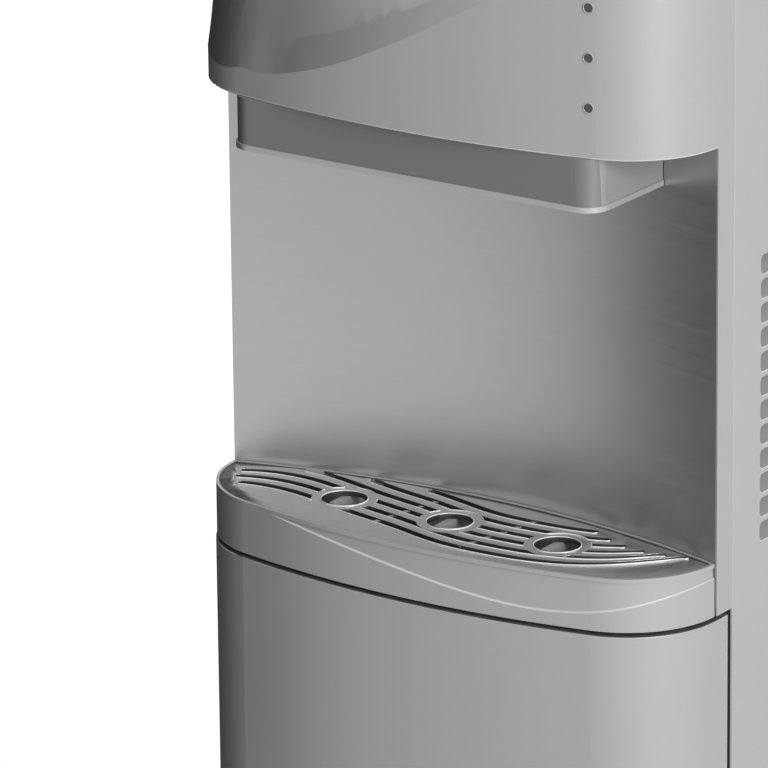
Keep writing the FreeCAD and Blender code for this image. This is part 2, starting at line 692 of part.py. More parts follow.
def drip_tray():
    body = tray_pocket(TRAY_SETBACK, FASCIA_Z0, TRAY_TOP, SLIDE_GAP)
    # the band's upper part is set in above a swooping crease
    edge = [vec(HALF * share, 0, TRAY_TOP + rise) for share, rise in CREASE]
    curve = Part.BSplineCurve()
    curve.interpolate(edge)
    top = TRAY_TOP - CREASE_LIP
    corners = [edge[-1], vec(edge[-1].x, 0, top + 20), vec(edge[0].x, 0, top + 20), edge[0]]
    face = Part.Face(Part.Wire([curve.toShape()] + Part.makePolygon(corners).Edges))
    face.translate(vec(0, FRONT - 20))
    above = face.extrude(vec(0, CORNER_Y - FRONT + 30, 0))
    band = bow_prism(DOOR_SAG + 5, DOOR_CORNER + 5, 0, CORNER_Y + 5, FASCIA_Z0, top, HALF + 5)
    band = band.cut(bow_prism(DOOR_SAG, DOOR_CORNER, TRAY_SETBACK + CREASE_STEP, CORNER_Y + 6,
                              FASCIA_Z0 - 1, TRAY_TOP))
    body = body.cut(above.common(band))
    ridge = [e for e in body.Edges if on_crease(e, curve)]
    body = body.makeChamfer(CREASE_BEVEL, ridge)
    ledge_inset = TRAY_SETBACK + TRAY_RIM + GRILLE_LEDGE
    body = cut_all(body, [
        tray_pocket(TRAY_SETBACK + TRAY_RIM, LEDGE_Z, TRAY_TOP + 1, SLIDE_GAP + TRAY_RIM),
        tray_pocket(ledge_inset, BASIN_Z, TRAY_TOP, SLIDE_GAP + TRAY_RIM + GRILLE_LEDGE),
        bow_prism(DOOR_SAG, DOOR_CORNER, TRAY_SETBACK + TRAY_WALL, CORNER_Y + 60, FASCIA_Z0 - 1,
                  DECK_Z1 + SLIDE_GAP),
    ])
    posts = []
    for channel in CHANNELS:
        x = channel_x(channel)
        posts.append(block(x - POST_X - POST_WIDE, x - POST_X, CHANNEL_Y - 2, CHANNEL_Y + RING_LAND + 8,
                           BASIN_Z - 0.5, LEDGE_Z))
    return joined([body] + posts)


def on_crease(edge, curve):
    """Whether an edge lies on the proud side of the crease line."""
    for share in (0.2, 0.5, 0.8):
        low, high = edge.FirstParameter, edge.LastParameter
        point = edge.valueAt(low + share * (high - low))
        flat = vec(point.x, 0, point.z)
        near = curve.value(curve.parameter(flat))
        if near.distanceToPoint(flat) > 0.02:
            return False
        if abs(outline_inset(point) - TRAY_SETBACK) > 0.05:
            return False
    return True


def outline_inset(point):
    """How far inside the door's bow a point lies."""
    if abs(point.x) > HALF - DOOR_CORNER:
        centre = vec(math.copysign(HALF - DOOR_CORNER, point.x), CORNER_Y)
        flat = vec(point.x, point.y)
        if flat.sub(centre).y < 0:
            corner = DOOR_CORNER - flat.distanceToPoint(centre)
        else:
            corner = HALF - abs(point.x)
        long_r = bow_radius(DOOR_SAG, DOOR_CORNER)
        long_y = CORNER_Y - DOOR_SAG + long_r
        turn = math.atan2(HALF - DOOR_CORNER, long_y - CORNER_Y)
        if abs(math.atan2(abs(point.x), long_y - point.y)) > turn:
            return corner
    long_r = bow_radius(DOOR_SAG, DOOR_CORNER)
    return long_r - vec(point.x, point.y).distanceToPoint(vec(0, CORNER_Y - DOOR_SAG + long_r))


def drip_grille():
    beside = TRAY_RIM + FIT_GAP
    plate = tray_pocket(TRAY_SETBACK + beside, GRILLE_Z0, GRILLE_Z1, SLIDE_GAP + beside)
    tools = [slot_prism(number, GRILLE_Z0 - 1, GRILLE_Z1 + 1) for number in range(len(SLOT_LEFT))]
    slotted = cut_all(plate, tools)
    extra = []
    holes = []
    for channel in CHANNELS:
        centre = vec(channel_x(channel), CHANNEL_Y, GRILLE_Z0)
        extra.append(Part.makeCylinder(RING_LAND, GRILLE_THICK, centre))
        holes.append(Part.makeCylinder(RING_HOLE, GRILLE_THICK + 2, centre.sub(vec(0, 0, 1))))
    for side in (-1, 1):
        front = vec(side * BRIDGE_X - BRIDGE_LEAN / 2, CORNER_Y - BRIDGE_FRONT, GRILLE_Z0)
        back = vec(side * BRIDGE_X + BRIDGE_LEAN / 2, CORNER_Y + BRIDGE_BACK, GRILLE_Z0)
        along = back.sub(front)
        across = vec(-along.y, along.x).normalize().multiply(BRIDGE_WIDE / 2)
        corners = [front.add(across), back.add(across), back.sub(across), front.sub(across)]
        bar = Part.Face(Part.makePolygon(corners + corners[:1]))
        extra.append(bar.extrude(vec(0, 0, GRILLE_THICK - BRIDGE_DROP)))
    return cut_all(joined([slotted] + extra), holes)


# ================================================================ alcove
def alcove_wall():
    z0, z1 = DECK_Z1 - 1, HEAD_Z0 + 1
    ring = wall_disc(WALL_RADIUS + WALL_SHEET, DECK_Z1, HEAD_Z0).cut(wall_disc(WALL_RADIUS, z0, z1))
    return ring.common(block(-WALL_HALF, WALL_HALF, CORNER_Y - 0.5, CORNER_Y + WALL_SAG + 5, z0, z1))


def spout_housing():
    solid = housing_prism(0, SPOUT_Z0, HEAD_Z0).cut(housing_prism(-MOULDED, SPOUT_Z0 - 1, HEAD_Z0 + 1))
    return solid.common(wall_disc(WALL_RADIUS - FIT_GAP, SPOUT_Z0 - 1, HEAD_Z0 + 1))


def spout_plate():
    plate = housing_prism(PLATE_PROUD, SPOUT_Z0 - PLATE_THICK, SPOUT_Z0)
    plate = plate.common(wall_disc(WALL_RADIUS - FIT_GAP, SPOUT_Z0 - 10, HEAD_Z0))
    holes = []
    for channel in CHANNELS:
        foot = vec(channel_x(channel), CHANNEL_Y, SPOUT_Z0 - PLATE_THICK - 1)
        holes.append(rod(SPOUT_RADIUS, foot, foot.add(vec(0, 0, PLATE_THICK + 2))))
    return cut_all(plate, holes)


def spout(channel):
    foot = vec(channel_x(channel), CHANNEL_Y, SPOUT_Z0 - PLATE_THICK - SPOUT_BELOW)
    top = vec(foot.x, foot.y, VALVE_Z0 + SPOUT_SEAT)
    tube = rod(SPOUT_RADIUS, foot, top)
    low = vec(foot.x, foot.y, SPOUT_Z0)
    collar = rod(SPOUT_RADIUS + SPOUT_COLLAR, low, low.add(vec(0, 0, SPOUT_COLLAR)))
    lip = [e for e in tube.Edges if e.BoundBox.ZMax < foot.z + 0.01]
    tube = tube.makeFillet(1.2, lip)
    return joined([tube, collar]).cut(rod(SPOUT_BORE, foot.sub(vec(0, 0, 1)), top.add(vec(0, 0, 1))))


def valve(channel):
    """A small solenoid valve that stands on its spout, with its inlet at the back."""
    x = channel_x(channel)
    half = VALVE_WIDE / 2
    body = block(x - half, x + half, CHANNEL_Y - half, CHANNEL_Y + half, VALVE_Z0, VALVE_Z0 + VALVE_TALL)
    body = rounded(body, 3, vec(0, 0, 1))
    top = vec(x, CHANNEL_Y, VALVE_Z0 + VALVE_TALL)
    coil = rod(COIL_RADIUS, top, top.add(vec(0, 0, COIL_TALL)))
    inlet = rod(HOSE + 1, vec(x, CHANNEL_Y + half - 1, VALVE_INLET_Z), vec(x, VALVE_INLET_Y, VALVE_INLET_Z))
    seat = rod(SPOUT_RADIUS, vec(x, CHANNEL_Y, VALVE_Z0 - 1), vec(x, CHANNEL_Y, VALVE_Z0 + SPOUT_SEAT))
    return joined([body, coil, inlet]).cut(seat)


# ================================================================ push buttons and child lock
def button_band(inset):
    """What lies behind the head's bow, set in by 'inset', at the buttons' level."""
    return bow_prism(HEAD_SAG, HEAD_CORNER, inset, SEAM_Y, BUTTON_Z - BUTTON_TALL, BUTTON_Z + BUTTON_TALL)


def push_button(channel):
    x = channel_x(channel)
    face, inset = button_face(x)
    cap = rounded_prism(x, BUTTON_Z, BUTTON_WIDE - 2 * SLIDE_GAP, BUTTON_TALL - 2 * SLIDE_GAP,
                        BUTTON_ROUND - SLIDE_GAP, face - 40, face + BUTTON_DEEP)
    cap = cap.common(button_band(inset - BUTTON_PROUD))
    rim = [e for e in cap.Edges if e.BoundBox.YMax < face - 1]
    cap = cap.makeFillet(BUTTON_EDGE, rim)
    flange = rounded_prism(x, BUTTON_Z, BUTTON_WIDE + 2 * BUTTON_FLANGE, BUTTON_TALL + 2 * BUTTON_FLANGE,
                           BUTTON_ROUND, face - 10, face + BUTTON_DEEP)
    behind = button_band(inset + MOULDED + BEHIND_GAP)
    start = vec(x, face + BUTTON_DEEP - 1, BUTTON_Z)
    stem = rod(STEM_RADIUS, start, vec(x, CARRIER_Y + STEM_LENGTH, BUTTON_Z))
    return joined([cap, flange.common(behind), stem])


def button_spring(channel):
    """A coil spring around the stem, between the cap and the carrier."""
    x = channel_x(channel)
    face, inset = button_face(x)
    start = face + BUTTON_DEEP + SPRING_WIRE + SPRING_GAP
    length = CARRIER_Y - SPRING_WIRE - SPRING_GAP - start
    helix = Part.makeHelix(length / SPRING_TURNS, length, SPRING_RADIUS)
    ring = Part.Wire(Part.makeCircle(SPRING_WIRE, vec(SPRING_RADIUS, 0, 0), vec(0, 1, 0)))
    coil = Part.Wire(helix).makePipeShell([ring], True, True)
    coil.rotate(vec(0, 0), vec(1, 0), -90)
    coil.translate(vec(x, start, BUTTON_Z))
    return coil


def button_carrier():
    """The bracket behind the head that guides the stems; its arms reach the head's side ribs."""
    low, high = BUTTON_Z - CARRIER_TALL / 2, BUTTON_Z + CARRIER_TALL / 2
    pieces = [block(-CARRIER_REACH, CARRIER_REACH, CARRIER_Y, CARRIER_Y + CARRIER_THICK, low, high)]
    rib = HALF - SHEET - FLANGE
    for side in (-1, 1):
        near, far = sorted((side * (CARRIER_REACH - CARRIER_THICK), side * CARRIER_REACH))
        pieces.append(block(near, far, CARRIER_Y, SEAM_Y - RIB_DEEP, low, high))
        near, far = sorted((side * (CARRIER_REACH - CARRIER_THICK), side * (rib + 4)))
        pieces.append(block(near, far, SEAM_Y - RIB_DEEP - CARRIER_THICK, SEAM_Y - RIB_DEEP, low, high))
    holes = []
    for channel in CHANNELS:
        x = channel_x(channel)
        start = vec(x, CARRIER_Y - 1, BUTTON_Z)
        holes.append(rod(STEM_RADIUS + STEM_GAP, start, start.add(vec(0, CARRIER_THICK + 2))))
    return cut_all(joined(pieces), holes)


def switch_board():
    """Circuit board with a small switch behind each stem."""
    y0 = CARRIER_Y + STEM_LENGTH + BUTTON_TRAVEL + SLIDE_GAP
    y1 = y0 + SWITCH_DEEP
    tall = CARRIER_TALL / 2 - 2
    pieces = [block(-BOARD_REACH, BOARD_REACH, y1, y1 + BOARD_THICK, BUTTON_Z - tall, BUTTON_Z + tall)]
    for channel in CHANNELS:
        x = channel_x(channel)
        pieces.append(block(x - 6, x + 6, y0, y1, BUTTON_Z - 5, BUTTON_Z + 5))
    for side in (-1, 1):
        low, high = sorted((side * (BOARD_REACH - 4), side * BOARD_REACH))
        pieces.append(block(low, high, CARRIER_Y + CARRIER_THICK, y1, BUTTON_Z - 5, BUTTON_Z + 5))
    return joined(pieces)


def child_lock():
    """A small slider beside the hot button, with a thumb ridge and a plate that keeps it in its slot."""
    face, inset = button_face(LOCK_X)
    knob = rounded_prism(LOCK_X, BUTTON_Z, LOCK_WIDE, LOCK_TALL, 1.5, face - 40, face + 14)
    ridge = block(LOCK_X - 1, LOCK_X + 1, face - 20, face + 3, BUTTON_Z - 4, BUTTON_Z + 4)
    knob = joined([knob.common(button_band(inset - LOCK_PROUD)),
                   ridge.common(button_band(inset - LOCK_PROUD - LOCK_RIDGE))])
    tall = LOCK_KEEPER / 2
    keeper = rounded_prism(LOCK_X, BUTTON_Z, 2 * LOCK_WIDE, LOCK_KEEPER, 0, face - 10, face + 14)
    # the keeper stays behind the wall over its whole travel
    deepest = max(scoop_inset_at(LOCK_X + LOCK_WIDE, BUTTON_Z + z) for z in (-tall, 0, tall))
    behind = button_band(deepest + MOULDED + BEHIND_GAP)
    for shift in (0, LOCK_TRAVEL):
        behind.translate(vec(shift, 0))
        keeper = keeper.common(behind)
    return joined([knob, keeper])


# ================================================================ cabinet


def rubber_feet():
    feet = []
    for x in (-FOOT_X, FOOT_X):
        for y in (FOOT_FRONT_Y, FOOT_REAR_Y):
            foot = Part.makeCone(FOOT_RADIUS - FOOT_TAPER, FOOT_RADIUS, FOOT_HEIGHT, vec(x, y))
            feet.append(foot)
    return Part.makeCompound(feet)


def base_outline(inset, z0, z1):
    front = bow_prism(DOOR_SAG, DOOR_CORNER, PLINTH_SET_IN + inset, SEAM_Y, z0, z1)
    half = HALF - SHEET - inset
    rear = block(-half, half, SEAM_Y - 1 - inset, PANEL_REAR - SHEET - inset, z0, z1)
    return front.fuse(rear).removeSplitter()


def base_pan():
    inside = base_outline(BASE_WALL, FOOT_HEIGHT - 1, BASE_TOP - BASE_WALL)
    pan = base_outline(0, FOOT_HEIGHT, BASE_TOP).cut(inside)
    bosses = []
    for x in (-FOOT_X, FOOT_X):
        for y in (FOOT_FRONT_Y, FOOT_REAR_Y):
            bosses.append(rod(FOOT_RADIUS + FOOT_BOSS, vec(x, y, FOOT_HEIGHT), vec(x, y, BASE_TOP - 1)))
    return joined([pan] + bosses)


def side_panel(side):
    """Right or left steel panel with folded edges and a column of pressed louvres."""
    panel = block(HALF - SHEET, HALF, SEAM_Y, PANEL_REAR, PANEL_Z0, HEAD_Z1)
    edge = [e for e in panel.Edges if e.BoundBox.ZLength > 100 and e.BoundBox.XMin > HALF - 0.1
            and e.BoundBox.YMax < SEAM_Y + 1]
    panel = panel.makeFillet(PANEL_EDGE, edge)
    low, high = HALF - SHEET - FLANGE, HALF - SHEET
    front = block(low, high, SEAM_Y, SEAM_Y + SHEET, BASE_TOP, HEAD_Z1)
    rear = block(low, high, PANEL_REAR - 2 * SHEET, PANEL_REAR - SHEET, BASE_TOP, HEAD_Z1)
    slots = []
    blades = []
    for row in range(VENT_COUNT):
        low = TRAY_TOP + VENT_LOW + row * VENT_PITCH
        start = CORNER_Y + VENT_START
        slot = block(HALF - 5, HALF + 5, start, start + VENT_LENGTH, low, low + VENT_TALL)
        slots.append(rounded(slot, VENT_ROUND, vec(1, 0)))
        high = low + VENT_TALL
        section = [vec(HALF - 0.3, start, low - 0.5), vec(HALF - 1.0, start, low - 0.5),
                   vec(HALF - 5.4, start, high - 2.6), vec(HALF - 4.6, start, high - 2.2),
                   vec(HALF - 0.3, start, low + 0.6)]
        blade = Part.Face(Part.makePolygon(section + section[:1])).extrude(vec(0, VENT_LENGTH))
        blades.append(blade)
    whole = joined([cut_all(joined([panel, front, rear]), slots)] + blades)
    return whole if side > 0 else mirrored(whole)


def door_frame():
    """The plastic frame that the door closes on; a thin strip of it shows at each side."""
    y0 = CORNER_Y + FRAME_START
    ring = block(-HALF, HALF, y0, SEAM_Y, BASE_TOP, DECK_Z0)
    opening = block(-FRAME_OPEN_HALF, FRAME_OPEN_HALF, y0 - 1, SEAM_Y + 1, BASE_TOP - 1, DECK_Z0 - FRAME_RAIL)
    ring = ring.cut(opening)
    groove = []
    for side in (-1, 1):
        low, high = sorted((side * (HALF - 0.6), side * (HALF + 1)))
        groove.append(block(low, high, SEAM_Y - SEAM_GROOVE, SEAM_Y + 1, BASE_TOP - 1, DECK_Z0 + 1))
    return cut_all(ring, groove)


def bay_liner():
    """Moulded wall around the bottle: two sides and the back."""
    side = HALF - SHEET - FIT_GAP
    front = SEAM_Y + SHEET
    outer = block(-side, side, front, LINER_BACK, BASE_TOP, DECK_Z0)
    inner = block(-side + LINER, side - LINER, front - 1, LINER_BACK - LINER, BASE_TOP - 1, DECK_Z0 + 1)
    corners = []
    for where in (-1, 1):
        low, high = sorted((where * (FRAME_OPEN_HALF + 1), where * (side - LINER / 2)))
        corners.append(block(low, high, front, front + LINER, BASE_TOP, DECK_Z0))
    shell = rounded_back(outer, LINER_ROUND).cut(rounded_back(inner, LINER_ROUND - LINER))
    return joined([shell] + corners)


def rounded_back(box, radius):
    upright = []
    for edge in box.Edges:
        if edge.BoundBox.ZLength > 100 and edge.BoundBox.YMin > 0:
            upright.append(edge)
    return box.makeFillet(radius, upright)


def bottle_rest():
    """A low dished mat that centres the bottle on the floor of the bay."""
    foot = vec(0, BOTTLE_Y, BASE_TOP)
    mat = Part.makeCylinder(BOTTLE_RADIUS - 4, REST_THICK, foot)
    return mat.cut(Part.makeCylinder(BOTTLE_RADIUS - 12, REST_THICK, foot.add(vec(0, 0, REST_DISH))))


def deck():
    """Steel shelf between the bottle bay and the works."""
    half = HALF - SHEET
    rear = block(-half, half, SEAM_Y + SHEET, PANEL_REAR - 2 * SHEET, DECK_Z0, DECK_Z1)
    middle = block(-half + FLANGE, half - FLANGE, CORNER_Y, SEAM_Y + 2, DECK_Z0, DECK_Z1)
    front = bow_prism(DOOR_SAG, DOOR_CORNER, TRAY_SETBACK + TRAY_WALL + 0.6, CORNER_Y + 4, DECK_Z0, DECK_Z1)
    return joined([rear, middle, front])


# ================================================================ door


def door_skin():
    """Bowed outer skin, with blind corner blocks that hold the hinge bushes."""
    back = CORNER_Y + DOOR_EDGE
    outer = bow_prism(DOOR_SAG, DOOR_CORNER, 0, back, DOOR_Z0, DOOR_Z1)
    rim = [e for e in outer.Edges if e.BoundBox.ZLength > 100 and e.BoundBox.YMin > back - 1]
    outer = outer.makeFillet(DOOR_EDGE_ROUND, rim)
    edges = [e for e in outer.Edges if e.BoundBox.ZLength < 1 and e.BoundBox.YMax < back - 0.5]
    outer = outer.makeFillet(DOOR_RIM_ROUND, edges)
    inner = bow_prism(DOOR_SAG, DOOR_CORNER, MOULDED, back + 1, DOOR_Z0 + MOULDED, DOOR_Z1 - MOULDED)
    shell = outer.cut(inner)
    core = bow_prism(DOOR_SAG, DOOR_CORNER, DOOR_THICK, back + 2, DOOR_Z0 - 1, DOOR_Z1 + 1)
    shell = shell.cut(core)
    bosses = []
    for z0 in (DOOR_Z0, DOOR_Z1 - HINGE_BOSS):
        boss = block(-HALF + 0.5, -HALF + DOOR_THICK - LINER, HINGE_Y - 8, back - 0.5, z0, z0 + HINGE_BOSS)
        bosses.append(boss.common(outer))
    pins = []
    for z0 in (DOOR_Z0 - 1, DOOR_Z1 - HINGE_BOSS + 3):
        low = vec(HINGE_X, HINGE_Y, z0)
        pins.append(rod(HINGE_PIN + HINGE_BUSH, low, low.add(vec(0, 0, HINGE_BOSS - 2))))
    return cut_all(joined([shell] + bosses), pins)


def hinge_bush(level):
    """Flanged plastic bush that the hinge pin turns in."""
    if level == "lower":
        foot, top = DOOR_Z0, DOOR_Z0 + HINGE_BOSS - 3
    else:
        foot, top = DOOR_Z1 - HINGE_BOSS + 3, DOOR_Z1
    low, high = vec(HINGE_X, HINGE_Y, foot), vec(HINGE_X, HINGE_Y, top)
    return pipe(HINGE_PIN + HINGE_BUSH, HINGE_PIN + PIN_CLEARANCE, low, high)


def hinge_plate(level):
    """Steel plate with a riveted pin, fixed to the cabinet above or below the door."""
    if level == "lower":
        z0 = BASE_TOP
        pin_low, pin_high = BASE_TOP + 0.5, DOOR_Z0 + HINGE_BOSS - 5
    else:
        z0 = FASCIA_Z0 - 0.4 - HINGE_PLATE
        pin_low, pin_high = DOOR_Z1 - HINGE_BOSS + 5, FASCIA_Z0 - 0.6
    low, high = PLINTH_SET_IN - HALF, 22 - HALF
    plate = block(low, high, HINGE_Y - 5, CORNER_Y + FRAME_START, z0, z0 + HINGE_PLATE)
    pin = rod(HINGE_PIN, vec(HINGE_X, HINGE_Y, pin_low), vec(HINGE_X, HINGE_Y, pin_high))
    return joined([plate, pin])


def door_liner():
    """Inner wall of the door, which leaves room for the bottle."""
    back = CORNER_Y + DOOR_EDGE - 1.0
    z0, z1 = DOOR_Z0 + MOULDED, DOOR_Z1 - MOULDED
    outer = bow_prism(DOOR_SAG, DOOR_CORNER, DOOR_THICK - LINER, back, z0, z1)
    inner = bow_prism(DOOR_SAG, DOOR_CORNER, DOOR_THICK, back + 1, z0 - 1, z1 + 1)
    wall = outer.cut(inner)
    flanges = []
    for side in (-1, 1):
        low, high = sorted((side * (HALF - MOULDED), side * (HALF - DOOR_THICK + LINER / 2)))
        flanges.append(block(low, high, back - LINER, back, z0 + HINGE_BOSS, z1 - HINGE_BOSS))
    return joined([wall] + flanges)


def door_magnet():
    x = HALF - DOOR_THICK + LINER
    back = CORNER_Y + DOOR_EDGE
    return block(x, x + MAGNET_WIDE, back - 1.0, back + 0.8, MAGNET_Z, MAGNET_Z + MAGNET_TALL)


def strike_plate():
    x = HALF - DOOR_THICK + 1
    y = CORNER_Y + FRAME_START
    return block(x, x + MAGNET_WIDE + 2, y - 0.35, y, MAGNET_Z - 6, MAGNET_Z + MAGNET_TALL + 6)


# ================================================================ top cover and rear panel


def top_cover():
    outer = bow_prism(HEAD_SAG, HEAD_CORNER, 0, PANEL_REAR, HEAD_Z1, HEIGHT)
    top = [e for e in outer.Edges if e.BoundBox.ZMin > HEIGHT - 0.01]
    outer = outer.makeFillet(COVER_ROUND, top)
    low = [e for e in outer.Edges if e.BoundBox.ZMax < HEAD_Z1 + 0.01]
    outer = outer.makeFillet(COVER_EDGE, low)
    inner = bow_prism(HEAD_SAG, HEAD_CORNER, MOULDED, PANEL_REAR - MOULDED, HEAD_Z1 - 1, HEIGHT - MOULDED)
    return outer.cut(inner)


def rear_panel():
    half = HALF - SHEET
    panel = block(-half, half, PANEL_REAR - SHEET, PANEL_REAR, PANEL_Z0, HEAD_Z1)
    y0, y1 = PANEL_REAR - 5, PANEL_REAR + 5
    tools = [
        rounded_prism(0, SWITCH_Z, 2 * PLATE_HALF - 8, PLATE_TALL - 6, 0, y0, y1),
        rounded_prism(INLET_X, INLET_Z, INLET_WIDE, INLET_TALL, 0, y0, y1),
        rod(DRAIN_BORE, vec(DRAIN_X, y0, DRAIN_Z), vec(DRAIN_X, y1, DRAIN_Z)),
        rod(CONDENSER_TUBE + 3.4, vec(PIPE_X, y0, PIPE_Z), vec(PIPE_X, y1, PIPE_Z)),
        rod(FINE_TUBE + 2.8, vec(CAPILLARY_X, y0, CAPILLARY_Z), vec(CAPILLARY_X, y1, CAPILLARY_Z)),
    ]
    for row in range(REAR_SLOTS):
        z = HEAD_Z0 + 30 + row * REAR_SLOT_PITCH
        tools.append(rounded_prism(0, z, REAR_SLOT_WIDE, 5, 2.2, y0, y1))
    return cut_all(panel, tools)


def switch_x(number):
    return (number - 1) * SWITCH_PITCH


def switch_plate():
    plate = rounded_prism(0, SWITCH_Z, 2 * PLATE_HALF, PLATE_TALL, 4, PANEL_REAR, PANEL_REAR + 3)
    inside = 2 * (PLATE_HALF - 4 - FIT_GAP)
    tall = PLATE_TALL - 6 - 2 * FIT_GAP
    body = rounded_prism(0, SWITCH_Z, inside, tall, 0, PANEL_REAR - 16, PANEL_REAR + 1)
    tools = []
    for number in range(3):
        x = switch_x(number)
        tools.append(rounded_prism(x, SWITCH_Z, SWITCH_WIDE, SWITCH_TALL, 0, PANEL_REAR - 12, PANEL_REAR + 5))
        tools.append(rocker_pin(x, PIN_CLEARANCE))
    return cut_all(joined([plate, body]), tools)


def rocker_pin(x, clearance):
    """The pin that a rocker turns on, or the hole for it."""
    reach = SWITCH_WIDE / 2 + ROCKER_PIN_OUT + clearance
    middle = vec(x, PANEL_REAR + ROCKER_OUT, SWITCH_Z)
    return rod(ROCKER_PIN + clearance, middle.sub(vec(reach, 0)), middle.add(vec(reach, 0)))


def rocker(number):
    """A switch rocker, pressed in at its lower half; it pivots where its faces meet."""
    x = switch_x(number)
    wide = SWITCH_WIDE / 2 - FIT_GAP
    tall = SWITCH_TALL / 2 - 1.3
    section = [vec(0, -7, -3.5), vec(0, -1.0, -tall), vec(0, 3.6, -tall), vec(0, 2.6, 0), vec(0, 3.6, tall),
               vec(0, -1.0, tall), vec(0, -7, 3.5)]
    key = Part.Face(Part.makePolygon(section + section[:1])).extrude(vec(2 * wide, 0))
    key.rotate(vec(0, 0), vec(1, 0), -ROCKER_TILT)
    key.translate(vec(x - wide, PANEL_REAR + ROCKER_OUT, SWITCH_Z))
    return joined([key, rocker_pin(x, 0)])


def power_inlet():
    """Appliance socket with three pins, in the rear panel."""
    y0, y1 = PANEL_REAR - INLET_DEEP, PANEL_REAR + 1
    face = rounded_prism(INLET_X, INLET_Z, INLET_WIDE + 8, INLET_TALL + 8, 3, PANEL_REAR, PANEL_REAR + 2)
    body = rounded_prism(INLET_X, INLET_Z, INLET_WIDE - FIT_GAP, INLET_TALL - FIT_GAP, 0, y0, y1)
    mouth = rounded_prism(INLET_X, INLET_Z, 24, 16.4, 2, y0 + 6, PANEL_REAR + 5)
    socket = joined([face, body]).cut(mouth)
    pins = []
    for dx, dz in ((-7, -2), (0, 2), (7, -2)):
        pins.append(rounded_prism(INLET_X + dx, INLET_Z + dz, 2, 4, 0, y0 + 5, PANEL_REAR - 2))
    return joined([socket] + pins)


# ================================================================ cold side, in the head


def head_shelf():
    half = HALF - SHEET
    shelf = block(-half, half, INSULATION_Y0 - 6, PANEL_REAR - 2 * SHEET, SHELF_Z - SHELF_THICK, SHELF_Z)
    z0, z1 = SHELF_Z - 5, SHELF_Z + 5
    holes = []
    for low in (8 - HALF, HALF - 50):
        holes.append(block(low, low + 42, PANEL_REAR - 90, PANEL_REAR - 26, z0, z1))
    holes.append(rod(PORT_RADIUS + 3, vec(FEED_X, TANK_Y, z0), vec(FEED_X, TANK_Y, z1)))
    return cut_all(shelf, holes)


def tank_ports(radius):
    """The cold tank's four pipe stubs."""
    ports = []
    for x, z in (COLD_PORT, ROOM_PORT):
        ports.append(rod(radius, vec(x, TANK_Y - TANK_RADIUS * 0.6, z), vec(x, INSULATION_Y0 - PORT_OUT, z)))
    ports.append(rod(radius, vec(FEED_X, TANK_Y, TANK_Z0 + 1), vec(FEED_X, TANK_Y, SHELF_Z - PORT_OUT)))
    ports.append(rod(radius, vec(FILL_X, TANK_Y, TANK_Z1 - 1), vec(FILL_X, TANK_Y, INSULATION_Z1 + PORT_OUT)))
    return ports


def cold_insulation():
    foam = block(-INSULATION_HALF, INSULATION_HALF, INSULATION_Y0, INSULATION_Y1, SHELF_Z, INSULATION_Z1)
    foam = rounded(foam, 10, vec(0, 0, 1))
    hollow = rod(TANK_RADIUS + COPPER * 2 + 1.0, vec(0, TANK_Y, TANK_Z0), vec(0, TANK_Y, TANK_Z1 + 1))
    return cut_all(foam, [hollow] + tank_ports(PORT_RADIUS))


def cold_tank():
    foot, top = vec(0, TANK_Y, TANK_Z0), vec(0, TANK_Y, TANK_Z1)
    outer = joined([rod(TANK_RADIUS, foot, top)] + tank_ports(PORT_RADIUS))
    wall = vec(0, 0, TANK_SHEET)
    water = rod(TANK_RADIUS - TANK_SHEET, foot.add(wall), top.sub(wall))
    return cut_all(outer, [water] + tank_ports(PORT_RADIUS - 1))


def evaporator():
    """Copper coil wound around the cold tank."""
    height = TANK_Z1 - TANK_Z0 - 4 * COPPER
    radius = TANK_RADIUS + COPPER + 0.3
    wire = Part.Wire(Part.makeHelix(height / COIL_TURNS, height, radius))
    ring = Part.Wire(Part.makeCircle(COPPER, vec(radius, 0, 0), vec(0, 1, 0)))
    coil = wire.makePipeShell([ring], True, True)
    coil.translate(vec(0, TANK_Y, TANK_Z0 + 2 * COPPER))
    return cut_all(coil, tank_ports(PORT_RADIUS + 0.2))


# ================================================================ hot side and works, on the deck


def round_edges(shape):
    return [e for e in shape.Edges if e.Curve.TypeId == "Part::GeomCircle"]


def hot_tank():
    foot, top = vec(HOT_X, HOT_Y, HOT_Z0), vec(HOT_X, HOT_Y, HOT_Z1)
    body = rod(HOT_RADIUS, foot, top)
    body = body.makeFillet(HOT_ROUND, round_edges(body))
    neck = rod(HOT_RADIUS * 0.375, foot.sub(vec(0, 0, 14)), foot.add(vec(0, 0, 2)))
    port = rod(6, top.sub(vec(0, 0, 2)), top.add(vec(0, 0, HOT_PORT)))
    drain = rod(5, vec(HOT_DRAIN_X, HOT_Y, HOT_Z0 + 4), vec(HOT_DRAIN_X, HOT_Y, HOT_Z0 - HOT_DRAIN))
    side = HOT_X + HOT_RADIUS
    inlet = rod(5, vec(side - 8, HOT_Y, HOT_INLET_Z), vec(side + HOT_INLET, HOT_Y, HOT_INLET_Z))
    legs = []
    for angle in (60, 180, 300):
        x = HOT_X + HOT_RADIUS * 0.54 * math.cos(math.radians(angle))
        y = HOT_Y + HOT_RADIUS * 0.54 * math.sin(math.radians(angle))
        legs.append(rod(3, vec(x, y, DECK_Z1), vec(x, y, HOT_Z0 + 0.5)))
    wall = vec(0, 0, TANK_WALL)
    water = rod(HOT_RADIUS - TANK_WALL, foot.add(wall), top.sub(wall))
    water = water.makeFillet(HOT_ROUND, round_edges(water))
    return joined([body, neck, port, drain, inlet] + legs).cut(water)


def hot_jacket():
    foot, top = vec(HOT_X, HOT_Y, HOT_Z0 + 12), vec(HOT_X, HOT_Y, HOT_Z1 - 12)
    return pipe(HOT_RADIUS + JACKET, HOT_RADIUS, foot, top)


